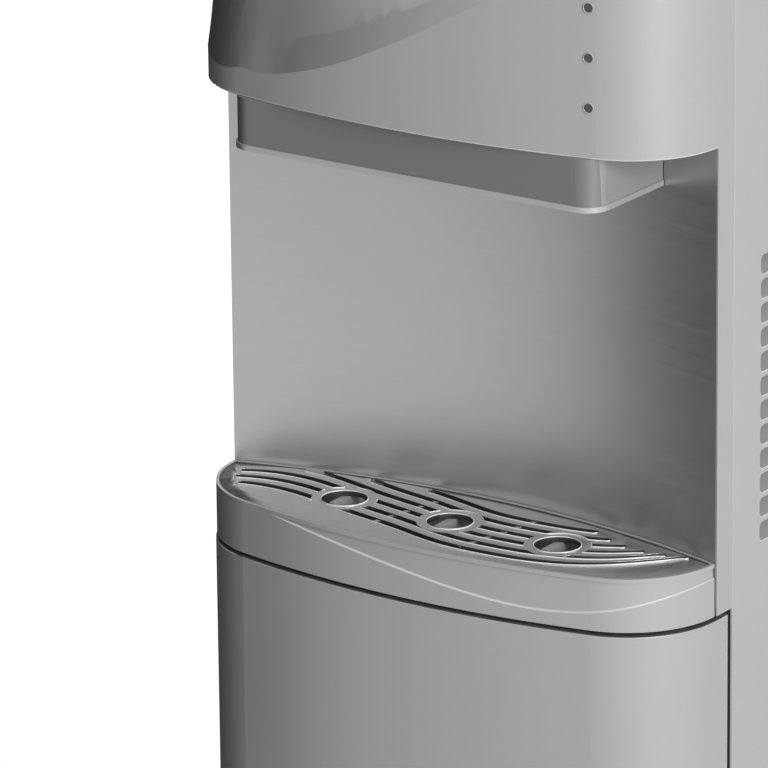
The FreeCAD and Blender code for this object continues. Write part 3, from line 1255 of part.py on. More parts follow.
def on_compressor(up):
    return vec(COMPRESSOR_X, COMPRESSOR_Y, DECK_Z1 + GROMMET + up)


def compressor():
    """Welded compressor can: a cylinder with domed ends on a foot plate."""
    can = rod(COMPRESSOR_RADIUS, on_compressor(2), on_compressor(COMPRESSOR_TALL))
    can = can.makeFillet(COMPRESSOR_ROUND, round_edges(can))
    weld = COMPRESSOR_TALL * 0.6
    seam = rod(COMPRESSOR_RADIUS + CAN_SEAM, on_compressor(weld - 2), on_compressor(weld + 2))
    reach = COMPRESSOR_RADIUS + 10
    z0 = DECK_Z1 + GROMMET
    low, high = COMPRESSOR_X - reach, COMPRESSOR_X + reach
    plate = block(low, high, COMPRESSOR_Y - 48, COMPRESSOR_Y + 48, z0, z0 + 3)
    plate = rounded(plate, 12, vec(0, 0, 1))
    stubs = []
    for x in (COMPRESSOR_X - STUB_X, COMPRESSOR_X + STUB_X):
        start = vec(x, COMPRESSOR_Y + COMPRESSOR_RADIUS - 10, COMPRESSOR_PORT_Z)
        stubs.append(rod(4, start, vec(x, COMPRESSOR_PORT_Y, COMPRESSOR_PORT_Z)))
    top = on_compressor(COMPRESSOR_TALL - CAN_WALL)
    inside = rod(COMPRESSOR_RADIUS - CAN_WALL, on_compressor(2 + CAN_WALL), top)
    inside = inside.makeFillet(COMPRESSOR_ROUND - 6, round_edges(inside))
    return joined([can, seam, plate] + stubs).cut(inside)


def compressor_terminal():
    """Cover of the compressor's relay and terminals, on its outer side."""
    low = COMPRESSOR_X + COMPRESSOR_RADIUS
    z0 = DECK_Z1 + GROMMET + 40
    box = block(low - 12, low + 22, COMPRESSOR_Y - 20, COMPRESSOR_Y + 20, z0, z0 + 44)
    can = rod(COMPRESSOR_RADIUS, on_compressor(0), on_compressor(COMPRESSOR_TALL))
    return rounded(box, 4, vec(0, 0, 1)).cut(can)


def compressor_grommets():
    feet = []
    for dx in (4 - COMPRESSOR_RADIUS, COMPRESSOR_RADIUS - 4):
        for dy in (-36, 36):
            x, y = COMPRESSOR_X + dx, COMPRESSOR_Y + dy
            feet.append(rod(9, vec(x, y, DECK_Z1), vec(x, y, DECK_Z1 + GROMMET)))
    return Part.makeCompound(feet)


def water_pump():
    z = DECK_Z1 + PUMP_AXIS
    foot = block(PUMP_X - 24, PUMP_X + 24, PUMP_Y - 16, PUMP_Y + 16, DECK_Z1, DECK_Z1 + 6)
    body = rod(17, vec(PUMP_X - 30, PUMP_Y, z), vec(PUMP_X + 26, PUMP_Y, z))
    head = rod(20, vec(PUMP_X - 30, PUMP_Y, z), vec(PUMP_X - 14, PUMP_Y, z))
    middle = vec(PUMP_PORT_X, PUMP_Y, z)
    inlet = rod(HOSE, middle, middle.add(vec(0, 0, 30)))
    outlet = rod(HOSE, middle, middle.sub(vec(0, PUMP_OUTLET)))
    return joined([foot, body, head, inlet, outlet])


# ================================================================ condenser on the back


def condenser_path():
    turn = CONDENSER_PITCH / 2
    edges = []
    side = -1
    for run in range(CONDENSER_PASSES):
        z = CONDENSER_Z0 + run * CONDENSER_PITCH
        start = vec(side * CONDENSER_HALF, CONDENSER_Y, z)
        end = vec(-side * CONDENSER_HALF, CONDENSER_Y, z)
        edges.append(Part.LineSegment(start, end).toShape())
        if run < CONDENSER_PASSES - 1:
            middle = vec(-side * (CONDENSER_HALF + turn), CONDENSER_Y, z + turn)
            edges.append(Part.Arc(end, middle, end.add(vec(0, 0, CONDENSER_PITCH))).toShape())
        side = -side
    return Part.Wire(edges)


def condenser_tube():
    return swept(condenser_path(), CONDENSER_TUBE)


def condenser_wires():
    wires = []
    reach = CONDENSER_TUBE + WIRE_RADIUS
    for number in range(WIRE_COUNT):
        x = -CONDENSER_HALF + 4 + number * (2 * CONDENSER_HALF - 8) / (WIRE_COUNT - 1)
        for y in (CONDENSER_Y - reach, CONDENSER_Y + reach):
            low, high = vec(x, y, CONDENSER_Z0 - WIRE_OVER), vec(x, y, CONDENSER_Z1 + WIRE_OVER)
            wires.append(rod(WIRE_RADIUS, low, high))
    return Part.makeCompound(wires)


def condenser_brackets():
    """Four stand-offs that hold the condenser's bends and keep the machine off the wall."""
    bends = swept(condenser_path(), CONDENSER_TUBE + 0.02)
    brackets = []
    for x in (-1, 1):
        for z in (CONDENSER_Z0 + CONDENSER_PITCH * 0.757, CONDENSER_Z1 - CONDENSER_PITCH * 1.136):
            low, high = sorted((x * (HALF - 26), x * (HALF - 12)))
            foot = rounded(block(low, high, PANEL_REAR, REAR, z, z + BRACKET_TALL), 3, vec(0, 1))
            brackets.append(foot.cut(bends))
    return Part.makeCompound(brackets)


# ================================================================ pipes and hoses, all held inside


def discharge_pipe():
    """Hot gas pipe, from the compressor through the rear panel to the condenser's top."""
    start_x = COMPRESSOR_X + STUB_X
    turn_y = COMPRESSOR_PORT_Y + 18
    points = [
        (start_x, COMPRESSOR_PORT_Y, COMPRESSOR_PORT_Z),
        (start_x, turn_y, COMPRESSOR_PORT_Z),
        (PIPE_X, turn_y, PIPE_Z - 6),
        (PIPE_X, CONDENSER_Y, CONDENSER_Z1),
        (CONDENSER_HALF, CONDENSER_Y, CONDENSER_Z1),
    ]
    return swept(route(points), CONDENSER_TUBE)


def suction_line():
    """Cold gas pipe, from the evaporator back to the compressor."""
    start_x, start_y = COMPRESSOR_X - STUB_X, COMPRESSOR_PORT_Y
    points = [
        (INSULATION_HALF, INSULATION_Y1 - 20, SHELF_Z + 18),
        (INSULATION_HALF + 30, INSULATION_Y1 - 20, SHELF_Z + 18),
        (INSULATION_HALF + 30, INSULATION_Y1 - 10, COMPRESSOR_PORT_Z + 70),
        (start_x, start_y + 16, COMPRESSOR_PORT_Z + 34),
        (start_x, start_y + 20, COMPRESSOR_PORT_Z),
        (start_x, start_y, COMPRESSOR_PORT_Z),
    ]
    return swept(route(points), PIPE)


def filter_and_capillary():
    """The drier at the condenser's foot and the fine tube that climbs to the evaporator."""
    z = CONDENSER_Z0 - 20
    bend = [
        (-CONDENSER_HALF, CONDENSER_Y, CONDENSER_Z0),
        (-CONDENSER_HALF - 18, CONDENSER_Y, CONDENSER_Z0),
        (-CONDENSER_HALF - 18, CONDENSER_Y, z),
        (-CONDENSER_HALF + 14, CONDENSER_Y, z),
    ]
    drier = rod(7, vec(-CONDENSER_HALF + 12, CONDENSER_Y, z), vec(-CONDENSER_HALF + 82, CONDENSER_Y, z))
    drier = drier.makeFillet(3, round_edges(drier))
    fine = [
        (-CONDENSER_HALF + 80, CONDENSER_Y, z),
        (HALF - 22, CONDENSER_Y + 1, z - 4),
        (HALF - 4, CONDENSER_Y - 2, z + 18),
        (HALF - 4, CONDENSER_Y - 2, CAPILLARY_Z - 20),
        (CAPILLARY_X, PANEL_REAR, CAPILLARY_Z),
        (INSULATION_HALF + 22, INSULATION_Y1 - 12, SHELF_Z + 34),
        (INSULATION_HALF, INSULATION_Y1 - 12, SHELF_Z + 34),
    ]
    return joined([swept(route(bend), CONDENSER_TUBE), drier, swept(route(fine), FINE_TUBE)])


def tap_hoses():
    """Three hoses: hot, room and cold water to the taps."""
    hot_x, room_x, cold_x = (channel_x(c) for c in ("hot", "room", "cold"))
    port_y = INSULATION_Y0 - PORT_OUT
    turn_y = port_y - 17
    hot = [
        (HOT_X, HOT_Y, HOT_Z1 + HOT_PORT),
        (HOT_X, HOT_Y, HOT_Z1 + 2 * HOT_PORT),
        (HOT_X + 6, turn_y, HOT_Z1 + 2 * HOT_PORT + 8),
        (hot_x, turn_y + 1, VALVE_INLET_Z),
        (hot_x, VALVE_INLET_Y, VALVE_INLET_Z),
    ]
    room = [
        (ROOM_PORT[0], port_y, ROOM_PORT[1]),
        (room_x, turn_y - 4, ROOM_PORT[1]),
        (room_x, turn_y - 2, VALVE_INLET_Z),
        (room_x, VALVE_INLET_Y, VALVE_INLET_Z),
    ]
    cold = [
        (COLD_PORT[0], port_y, COLD_PORT[1]),
        (COLD_PORT[0], turn_y - 4, COLD_PORT[1]),
        (cold_x, turn_y - 2, VALVE_INLET_Z),
        (cold_x, VALVE_INLET_Y, VALVE_INLET_Z),
    ]
    return Part.makeCompound([hose(points, HOSE, HOSE_BORE) for points in (hot, room, cold)])


def water_hoses():
    """Hoses from the bottle probe to the pump, on to the cold tank, down to the hot tank, and its drain."""
    pump_z = DECK_Z1 + PUMP_AXIS
    side_x = 19 - HALF
    suction = [
        (PROBE_X, PROBE_Y, PROBE_TOP + PROBE_STUB),
        (PROBE_X - 1, PROBE_Y, DECK_Z1 + 96),
        (PUMP_PORT_X, PUMP_Y, DECK_Z1 + 102),
        (PUMP_PORT_X, PUMP_Y, pump_z + 30),
    ]
    supply = [
        (PUMP_PORT_X, PUMP_Y - PUMP_OUTLET, pump_z),
        (PUMP_PORT_X, PUMP_Y - PUMP_OUTLET - 12, pump_z),
        (side_x, PUMP_Y - 30, pump_z + 16),
        (side_x, PUMP_Y - 26, INSULATION_Z1 - 10),
        (side_x + 26, TANK_Y + 37, INSULATION_Z1 + 16),
        (FILL_X, TANK_Y, INSULATION_Z1 + 18),
        (FILL_X, TANK_Y, INSULATION_Z1 + PORT_OUT),
    ]
    feed = [
        (FEED_X, TANK_Y, SHELF_Z - PORT_OUT),
        (FEED_X, TANK_Y, HOT_INLET_Z + 60),
        (FEED_X - 4, HOT_Y, HOT_INLET_Z),
        (HOT_X + HOT_RADIUS + HOT_INLET, HOT_Y, HOT_INLET_Z),
    ]
    drain_z = HOT_Z0 - HOT_DRAIN
    drain = [
        (HOT_DRAIN_X, HOT_Y, drain_z),
        (HOT_DRAIN_X, HOT_Y, drain_z - 18),
        (HOT_DRAIN_X - 6, PUMP_Y - 30, DECK_Z1 + 9),
        (DRAIN_X + 2, PUMP_Y - 26, DECK_Z1 + 14),
        (DRAIN_X, PANEL_REAR - 36, DRAIN_Z),
        (DRAIN_X, PANEL_REAR - 14, DRAIN_Z),
    ]
    return Part.makeCompound([hose(points, HOSE, HOSE_BORE) for points in (suction, supply, feed, drain)])


def bottle_probe():
    """The dip tube and cap that go into the bottle, parked in a fork at the back of the bay."""
    foot = vec(PROBE_X, PROBE_Y, BASE_TOP + 34)
    top = vec(PROBE_X, PROBE_Y, PROBE_TOP)
    collar = rod(COLLAR_RADIUS, top.sub(vec(0, 0, COLLAR_TALL)), top)
    collar = collar.makeFillet(3, [e for e in collar.Edges if e.BoundBox.ZMin > PROBE_TOP - 0.1])
    tube = rod(DIP_RADIUS, foot, top)
    strainer = rod(DIP_RADIUS + 2, foot, foot.add(vec(0, 0, 16)))
    stub = rod(HOSE, top.sub(vec(0, 0, 1)), top.add(vec(0, 0, PROBE_STUB)))
    bore = rod(DIP_RADIUS - DIP_WALL, foot.sub(vec(0, 0, 1)), top.sub(vec(0, 0, 6)))
    return joined([collar, tube, strainer, stub]).cut(bore)


def probe_fork():
    """Fork moulded on the bay's back wall; the probe's cap rests on it."""
    z1 = PROBE_TOP - COLLAR_TALL
    wall = LINER_BACK - LINER / 2
    plate = block(PROBE_X - 18, PROBE_X + 18, PROBE_Y - 14, wall, z1 - 5, z1)
    half = DIP_RADIUS + SLIDE_GAP
    slot = rod(half, vec(PROBE_X, PROBE_Y, z1 - 8), vec(PROBE_X, PROBE_Y, z1 + 1))
    way = block(PROBE_X - half, PROBE_X + half, PROBE_Y - 20, PROBE_Y, z1 - 8, z1 + 1)
    return cut_all(plate, [slot, way])


def drain_fitting():
    """Short threaded tube through the rear panel."""
    start = vec(DRAIN_X, PANEL_REAR - 14, DRAIN_Z)
    end = vec(DRAIN_X, PANEL_REAR + 9, DRAIN_Z)
    tube = rod(DRAIN_BORE - 1.0, start, end)
    flange = rod(DRAIN_BORE + 2.0, vec(DRAIN_X, PANEL_REAR, DRAIN_Z), vec(DRAIN_X, PANEL_REAR + 2, DRAIN_Z))
    bore = rod(PLUG_RADIUS + 0.1, vec(DRAIN_X, PANEL_REAR - 4, DRAIN_Z), end.add(vec(0, 1)))
    way = rod(HOSE_BORE, start.sub(vec(0, 1)), end)
    return cut_all(joined([tube, flange]), [bore, way])


def drain_plug():
    """Soft plug with a pull tab."""
    y = PANEL_REAR + 9.3
    stopper = rod(PLUG_RADIUS, vec(DRAIN_X, PANEL_REAR - 1, DRAIN_Z), vec(DRAIN_X, y + 1, DRAIN_Z))
    head = rod(DRAIN_BORE - 1.2, vec(DRAIN_X, y, DRAIN_Z), vec(DRAIN_X, y + 3, DRAIN_Z))
    tab = rounded_prism(DRAIN_X, DRAIN_Z, 3, 10, 1, y + 2, y + 11)
    return joined([stopper, head, tab])


def indicator_lenses():
    return Part.makeCompound(lamp_rods(LAMP_RADIUS - 0.03, LAMP_LENGTH - LAMP_PROUD, LAMP_PROUD))


def deck_with_hole():
    hole = rod(HOSE + 1.5, vec(PROBE_X, PROBE_Y, DECK_Z0 - 1), vec(PROBE_X, PROBE_Y, DECK_Z1 + 1))
    return deck().cut(hole)


# ================================================================ every piece, by name
def pieces():
    made = {
        "rubber_feet": rubber_feet(),
        "base_pan": base_pan(),
        "right_side_panel": side_panel(1),
        "left_side_panel": side_panel(-1),
        "rear_panel": rear_panel(),
        "front_fascia": front_fascia(),
        "top_cover": top_cover(),
        "door_frame": door_frame(),
        "bay_liner": joined([bay_liner(), probe_fork()]),
        "bottle_rest": bottle_rest(),
        "deck": deck_with_hole(),
        "head_shelf": head_shelf(),
        "hinge_plates": Part.makeCompound([hinge_plate("lower"), hinge_plate("upper")]),
        "strike_plate": strike_plate(),
        "door_skin": door_skin(),
        "door_liner": door_liner(),
        "hinge_bushes": Part.makeCompound([hinge_bush("lower"), hinge_bush("upper")]),
        "door_magnet": door_magnet(),
        "drip_tray": drip_tray(),
        "drip_grille": drip_grille(),
        "alcove_wall": alcove_wall(),
        "spout_housing": spout_housing(),
        "spout_plate": spout_plate(),
        "spouts": Part.makeCompound([spout(channel) for channel in CHANNELS]),
        "tap_valves": Part.makeCompound([valve(channel) for channel in CHANNELS]),
        "tap_hoses": tap_hoses(),
        "indicator_lenses": indicator_lenses(),
        "button_carrier": button_carrier(),
        "switch_board": switch_board(),
        "child_lock": child_lock(),
        "cold_insulation": cold_insulation(),
        "cold_tank": cold_tank(),
        "evaporator": evaporator(),
        "hot_tank": hot_tank(),
        "hot_jacket": hot_jacket(),
        "compressor": compressor(),
        "compressor_terminal": compressor_terminal(),
        "compressor_grommets": compressor_grommets(),
        "water_pump": water_pump(),
        "water_hoses": water_hoses(),
        "bottle_probe": bottle_probe(),
        "discharge_pipe": discharge_pipe(),
        "suction_line": suction_line(),
        "filter_and_capillary": filter_and_capillary(),
        "condenser_tube": condenser_tube(),
        "condenser_wires": condenser_wires(),
        "condenser_brackets": condenser_brackets(),
        "switch_plate": switch_plate(),
        "power_inlet": power_inlet(),
        "drain_fitting": drain_fitting(),
        "drain_plug": drain_plug(),
    }
    for channel in CHANNELS:
        made[channel + "_button"] = push_button(channel)
        made[channel + "_button_spring"] = button_spring(channel)
    for number, name in enumerate(("heater_switch", "cooler_switch", "lamp_switch")):
        made[name] = rocker(number)
    return made


os.makedirs("parts", exist_ok=True)
for node, shape in pieces().items():
    shape.exportStep("parts/" + node + ".step")
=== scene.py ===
# %% [markdown]
# # A bottom load water cooler, dressed for its photograph
# The real object is a slim cabinet of satin silver mouldings and painted steel: a bowed door
# below, a drip tray and a dispensing space in the middle, and a bowed head above. Its solids come
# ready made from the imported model. This notebook gives each of them a finish, adds the fine pieces
# that a solid model leaves plain, and sets up the camera and the lamps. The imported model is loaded
# first, because every piece is placed against it.

import json
import math

import bpy
from mathutils import Matrix, Vector


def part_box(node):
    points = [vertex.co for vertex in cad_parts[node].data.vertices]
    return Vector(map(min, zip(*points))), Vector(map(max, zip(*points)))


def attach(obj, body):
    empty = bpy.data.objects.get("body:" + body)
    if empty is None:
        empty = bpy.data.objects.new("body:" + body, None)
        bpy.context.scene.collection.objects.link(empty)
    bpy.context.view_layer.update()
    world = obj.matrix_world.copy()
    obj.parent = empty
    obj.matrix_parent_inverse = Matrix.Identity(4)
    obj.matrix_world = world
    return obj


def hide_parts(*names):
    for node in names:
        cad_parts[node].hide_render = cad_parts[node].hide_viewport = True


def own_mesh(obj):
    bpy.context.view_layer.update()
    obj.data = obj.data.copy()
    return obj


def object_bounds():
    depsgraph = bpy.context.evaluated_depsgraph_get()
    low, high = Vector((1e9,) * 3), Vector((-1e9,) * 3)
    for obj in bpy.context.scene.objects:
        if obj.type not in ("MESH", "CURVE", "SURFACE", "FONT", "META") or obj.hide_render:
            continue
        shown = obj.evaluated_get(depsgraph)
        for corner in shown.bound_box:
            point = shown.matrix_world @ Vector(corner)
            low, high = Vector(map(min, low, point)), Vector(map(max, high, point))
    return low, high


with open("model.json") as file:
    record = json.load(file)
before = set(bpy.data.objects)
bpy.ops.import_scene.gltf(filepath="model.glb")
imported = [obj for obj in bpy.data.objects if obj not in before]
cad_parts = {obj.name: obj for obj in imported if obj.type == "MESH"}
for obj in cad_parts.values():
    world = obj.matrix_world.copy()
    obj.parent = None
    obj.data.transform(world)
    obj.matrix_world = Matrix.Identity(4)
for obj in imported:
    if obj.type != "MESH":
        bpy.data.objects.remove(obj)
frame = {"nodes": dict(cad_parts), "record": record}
nodes = frame["nodes"]
cad_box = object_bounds()
print("pieces in the frame:", len(nodes))

# %% [markdown]
# ## Camera
# The picture was taken from the right and a little above, from far away with a long lens, so
# upright edges stay upright. The place, the aim and the lens come from matching the tray, the
# columns and the head to the picture. A long lens needs no shift: the picture's middle is the
# camera's own middle.

# %% Camera
CAMERA_AT = Vector((2.04139, -3.1327, 1.87038))
LOOK = Vector((-0.54152, 0.77968, -0.31441))
ACROSS = Vector((0.82326, 0.56756, -0.01049))
LENS = 338.93
SENSOR = 36
SIGHT_ENDS = 50

camera_data = bpy.data.cameras.new("camera")
camera_data.lens = LENS
camera_data.sensor_width = SENSOR
camera_data.clip_end = SIGHT_ENDS
camera = bpy.data.objects.new("camera", camera_data)
bpy.context.scene.collection.objects.link(camera)
upward = ACROSS.cross(LOOK)
turn = Matrix((ACROSS, upward, -LOOK)).transposed().to_4x4()
camera.matrix_world = Matrix.Translation(CAMERA_AT) @ turn
bpy.context.scene.camera = camera
bpy.context.scene.view_settings.view_transform = "Standard"
print("camera, metres from the middle:", round(CAMERA_AT.length, 2))

# %% [markdown]
# ## Working by hand in code
# An operator acts on everything that is selected, and the loaded pieces are all selected. So each
# step first deselects everything, then works on one object. A modifier is added, set and applied
# at once, because a finished piece is a plain mesh. These few helpers keep such habits in one
# place.


# %% Helpers for modelling
def edit_mode():
    bpy.ops.object.mode_set(mode="EDIT")


def object_mode():
    bpy.ops.object.mode_set(mode="OBJECT")


def only(obj):
    """Leaves this object alone selected and active."""
    if bpy.context.mode != "OBJECT":
        object_mode()
    bpy.ops.object.select_all(action="DESELECT")
    obj.select_set(True)
    bpy.context.view_layer.objects.active = obj


def named(name):
    """Names the piece that an operator has just added."""
    obj = bpy.context.object
    obj.name = name
    obj.data.name = name
    return obj


def settle(obj):
    """Puts the piece's place into its mesh and its object at the origin."""
    only(obj)
    bpy.ops.object.transform_apply(location=True, rotation=True, scale=True)
    return obj


def smooth(degrees):
    """Shades the active piece smooth, apart from edges that turn by more than this."""
    bpy.ops.object.shade_smooth_by_angle(angle=math.radians(degrees))


def shape_with(obj, kind, **settings):
    """Adds a modifier to the active piece, sets it and applies it."""
    modifier = obj.modifiers.new(kind.lower(), kind)
    for label, value in settings.items():
        setattr(modifier, label, value)
    bpy.ops.object.modifier_apply(modifier=modifier.name)


bpy.ops.object.select_all(action="DESELECT")

# %% [markdown]
# ## Floor and light
# The picture has a plain white ground. A white floor under bright lamps would spoil the object's
# own greys, so the floor here is a wide grey sheet that only the camera and shiny surfaces see as
# white. It still catches the object's soft shadow. The same test, of what is seen directly, makes
# the world white behind the object while its light stays weak.


# %% Helpers for shader nodes
def add(tree, kind, inputs=None, **settings):
    """Adds a node, sets its properties, and sets or links its inputs by name or number."""
    node = tree.nodes.new(kind)
    for label, value in settings.items():
        setattr(node, label, value)
    for label, value in (inputs or {}).items():
        if isinstance(value, bpy.types.NodeSocket):
            tree.links.new(value, node.inputs[label])
        else:
            node.inputs[label].default_value = value
    return node


def math_node(tree, operation, first, second):
    return add(tree, "ShaderNodeMath", {0: first, 1: second}, operation=operation).outputs[0]


def seen_directly(tree):
    """1 for what is seen straight, mirrored or through glass, and 0 for all other light."""
    path = tree.nodes.new("ShaderNodeLightPath").outputs
    mirrored = math_node(tree, "MAXIMUM", path["Is Camera Ray"], path["Is Glossy Ray"])
    return math_node(tree, "MAXIMUM", mirrored, path["Is Transmission Ray"])


def flat_paint(name, level, rough):
    """A material of one flat grey, for what stands around the object."""
    stuff = bpy.data.materials.new(name)
    stuff.use_nodes = True
    paint = stuff.node_tree.nodes["Principled BSDF"]
    paint.inputs["Base Color"].default_value = (level, level, level, 1)
    paint.inputs["Roughness"].default_value = rough
    return stuff


# %% Floor
FLOOR_SIZE = 30
FLOOR_DROP = 0.0005
FLOOR_WHITE = 0.34
FLOOR_ROUGH = 0.9
FLOOR_GLOW = 0.82
bpy.ops.mesh.primitive_plane_add(size=FLOOR_SIZE, location=(0, 0, -FLOOR_DROP))
floor = named("floor")
floor_stuff = flat_paint("white_floor", FLOOR_WHITE, FLOOR_ROUGH)
tree = floor_stuff.node_tree
glow_share = math_node(tree, "MULTIPLY", seen_directly(tree), FLOOR_GLOW)
glow = add(tree, "ShaderNodeEmission", {"Strength": glow_share})
sheet = tree.nodes["Principled BSDF"]
whole = add(tree, "ShaderNodeAddShader", {0: sheet.outputs[0], 1: glow.outputs[0]})
tree.links.new(whole.outputs[0], tree.nodes["Material Output"].inputs["Surface"])
floor.data.materials.append(floor_stuff)
print("floor, metres wide:", FLOOR_SIZE)

# %% World
AMBIENT = 0.12
WHITE = (1, 1, 1, 1)
world = bpy.data.worlds.new("studio")
bpy.context.scene.world = world
world.use_nodes = True
tree = world.node_tree
tree.nodes.clear()
weak = add(tree, "ShaderNodeBackground", {"Color": WHITE, "Strength": AMBIENT})
white = add(tree, "ShaderNodeBackground", {"Color": WHITE, "Strength": 1.0})
sky = {0: seen_directly(tree), 1: weak.outputs[0], 2: white.outputs[0]}
mix = add(tree, "ShaderNodeMixShader", sky)
add(tree, "ShaderNodeOutputWorld", {"Surface": mix.outputs[0]})
print("light of the world:", AMBIENT)

# %% [markdown]
# ## Lamps
# Lamps stay at a level where a colour renders as it is written. A point lamp would give hard
# shadows and small hot spots, and a studio has none of those, so each lamp is a wide soft panel:
# a large one on the right, as the bright right side in the picture shows, and three weak ones.

# %% Lamps
LAMPS = (
    # name, place, aim, width, height, watts
    ("key", (3.1, -1.65, 1.9), (0, 0, 0.7), 1.5, 2.4, 130.0),
    ("front_fill", (1.1, -4.1, 2.2), (0, 0, 0.7), 2.0, 2.0, 11.0),
    ("rear_fill", (-2.2, 2.9, 2.2), (0, 0, 0.7), 2.4, 2.4, 46.0),
    ("top", (0.6, -0.6, 3.4), (0, 0, 0.8), 1.6, 1.6, 14.0),
)
for name, place, aim, wide, tall, watts in LAMPS:
    lamp_data = bpy.data.lights.new(name, "AREA")
    lamp_data.shape = "RECTANGLE"
    lamp_data.size = wide
    lamp_data.size_y = tall
    lamp_data.energy = watts
    lamp = bpy.data.objects.new(name, lamp_data)
    bpy.context.scene.collection.objects.link(lamp)
    lamp.location = place
    lamp.rotation_euler = (Vector(aim) - Vector(place)).to_track_quat("-Z", "Y").to_euler()
    print("lamp", name, watts, "W")

# %% [markdown]
# ## Black card
# A rounded satin corner only looks round if it mirrors something dark on one side. Studios stand a
# black card there. This one leans outwards beside the left corner, from the floor up, because a
# camera that looks down sees the floor mirrored in an upright face. It casts no shadow and is out
# of every camera's sight. It is a strip of three squares whose corners are set one by one.

# %% Black card
CARD_FOOT = ((-0.745, -0.76), (-0.56, -0.30), (-0.42, 0.02), (-0.27, 0.30))
CARD_LEAN = 1.9
CARD_HIGH = 1.75
CARD_BLACK = 0.01
panes = len(CARD_FOOT) - 1
bpy.ops.mesh.primitive_grid_add(x_subdivisions=panes, y_subdivisions=1, size=1)
card = named("black_card")
for vertex in card.data.vertices:
    # the grid is one metre wide about its middle, so this runs from 0 to 1 across it
    foot = CARD_FOOT[round((vertex.co.x + 0.5) * panes)]
    place = Vector((*foot, 0))
    if vertex.co.y > 0:
        place = place * CARD_LEAN + Vector((0, 0, CARD_HIGH))
    vertex.co = place
card.visible_camera = False
card.visible_shadow = False
card.data.materials.append(flat_paint("black_card", CARD_BLACK, 1.0))
print("card, panes:", len(card.data.polygons))

# %% [markdown]
# ## Patterns that several finishes share
# No real surface is one flat colour. Moulded plastic carries a fine grain from its mould, sheet
# steel is brushed in one direction, and every face has faint blotches and some dust where it looks
# up. A picture of each would need a file and a map of every piece, so each is worked out from the
# place on the object instead. It is built once as a node group with named inputs and outputs, then
# placed in each finish with its own values.


# %% Group helper
def new_group(name, inputs, outputs):
    """A shader node group with number inputs (label: default) and number outputs."""
    group = bpy.data.node_groups.new(name, "ShaderNodeTree")
    number = "NodeSocketFloat"
    for label, value in inputs.items():
        socket = group.interface.new_socket(name=label, in_out="INPUT", socket_type=number)
        socket.default_value = value
    for label in outputs:
        group.interface.new_socket(name=label, in_out="OUTPUT", socket_type=number)
    print("pattern:", name)
    return group, group.nodes.new("NodeGroupInput"), group.nodes.new("NodeGroupOutput")


def place_on_object(group):
    return add(group, "ShaderNodeTexCoord").outputs["Object"]


# %% Grain of a mould
GRAIN_SCALE = 900.0
grain, given, result = new_group("mould_grain", {"Scale": GRAIN_SCALE}, ("Height", "Speckle"))
spots = {"Vector": place_on_object(grain), "Scale": given.outputs["Scale"]}
pits = add(grain, "ShaderNodeTexNoise", {**spots, "Detail": 2.0}).outputs["Fac"]
domes = add(grain, "ShaderNodeTexVoronoi", spots).outputs["Distance"]
grain.links.new(math_node(grain, "MULTIPLY", pits, domes), result.inputs["Height"])
grain.links.new(pits, result.inputs["Speckle"])

# %% Blotches, some centimetres across
BLOTCH_SCALE = 9.0
blotch, given, result = new_group("soft_blotches", {"Scale": BLOTCH_SCALE}, ("Cloud",))
spots = {"Vector": place_on_object(blotch), "Scale": given.outputs["Scale"]}
cloud = add(blotch, "ShaderNodeTexNoise", {**spots, "Detail": 4.0}).outputs["Fac"]
blotch.links.new(cloud, result.inputs["Cloud"])

# %% Brushed lines, long across and fine upwards
LINE_STRETCH = (6.0, 6.0, 2200.0)
BAND_STRETCH = (2.0, 2.0, 260.0)
brush, given, result = new_group("brushed_lines", {"Fineness": 1.0}, ("Line", "Height"))
where = place_on_object(brush)
fineness = given.outputs["Fineness"]
along = add(brush, "ShaderNodeMapping", {"Vector": where, "Scale": LINE_STRETCH}).outputs[0]
lines = {"Vector": along, "Scale": fineness, "Detail": 3.0}
fine = add(brush, "ShaderNodeTexNoise", lines).outputs["Fac"]
broad = add(brush, "ShaderNodeMapping", {"Vector": where, "Scale": BAND_STRETCH}).outputs[0]
bands = {"Vector": broad, "Scale": fineness, "Detail": 2.0}
soft = add(brush, "ShaderNodeTexNoise", bands).outputs["Fac"]
brush.links.new(math_node(brush, "MULTIPLY", fine, soft), result.inputs["Line"])
brush.links.new(fine, result.inputs["Height"])

# %% Dust on faces that look up
LOOKS_UP = 0.6
SPECK_SCALE = 160.0
dust, given, result = new_group("settled_dust", {"Amount": 0.5}, ("Mask",))
facing = add(dust, "ShaderNodeNewGeometry").outputs["Normal"]
up = add(dust, "ShaderNodeSeparateXYZ", {0: facing}).outputs["Z"]
spots = {"Vector": place_on_object(dust), "Scale": SPECK_SCALE, "Detail": 5.0}
specks = add(dust, "ShaderNodeTexNoise", spots).outputs["Fac"]
ramp = {"Value": up, "From Min": LOOKS_UP, "From Max": 1.0}
level = add(dust, "ShaderNodeMapRange", ramp).outputs["Result"]
settled = math_node(dust, "MULTIPLY", level, specks)
dust.links.new(math_node(dust, "MULTIPLY", settled, given.outputs["Amount"]),
               result.inputs["Mask"])

# %% [markdown]
# ## Recipe of a finish
# Most of this machine is one satin silver: a metal-flake paint on the steel and the same shade
# moulded into the plastic. Nearly thirty finishes built one by one would drift apart, so one recipe
# builds each of them from a shader, whose plain numbers stay on its own sockets, and from the
# shared patterns, which vary its colour, roughness and surface. Only the numbers differ.


# %% Colour helpers
BLUE_TRACE = 1.01


def grey(level):
    return (level, level, level * BLUE_TRACE)


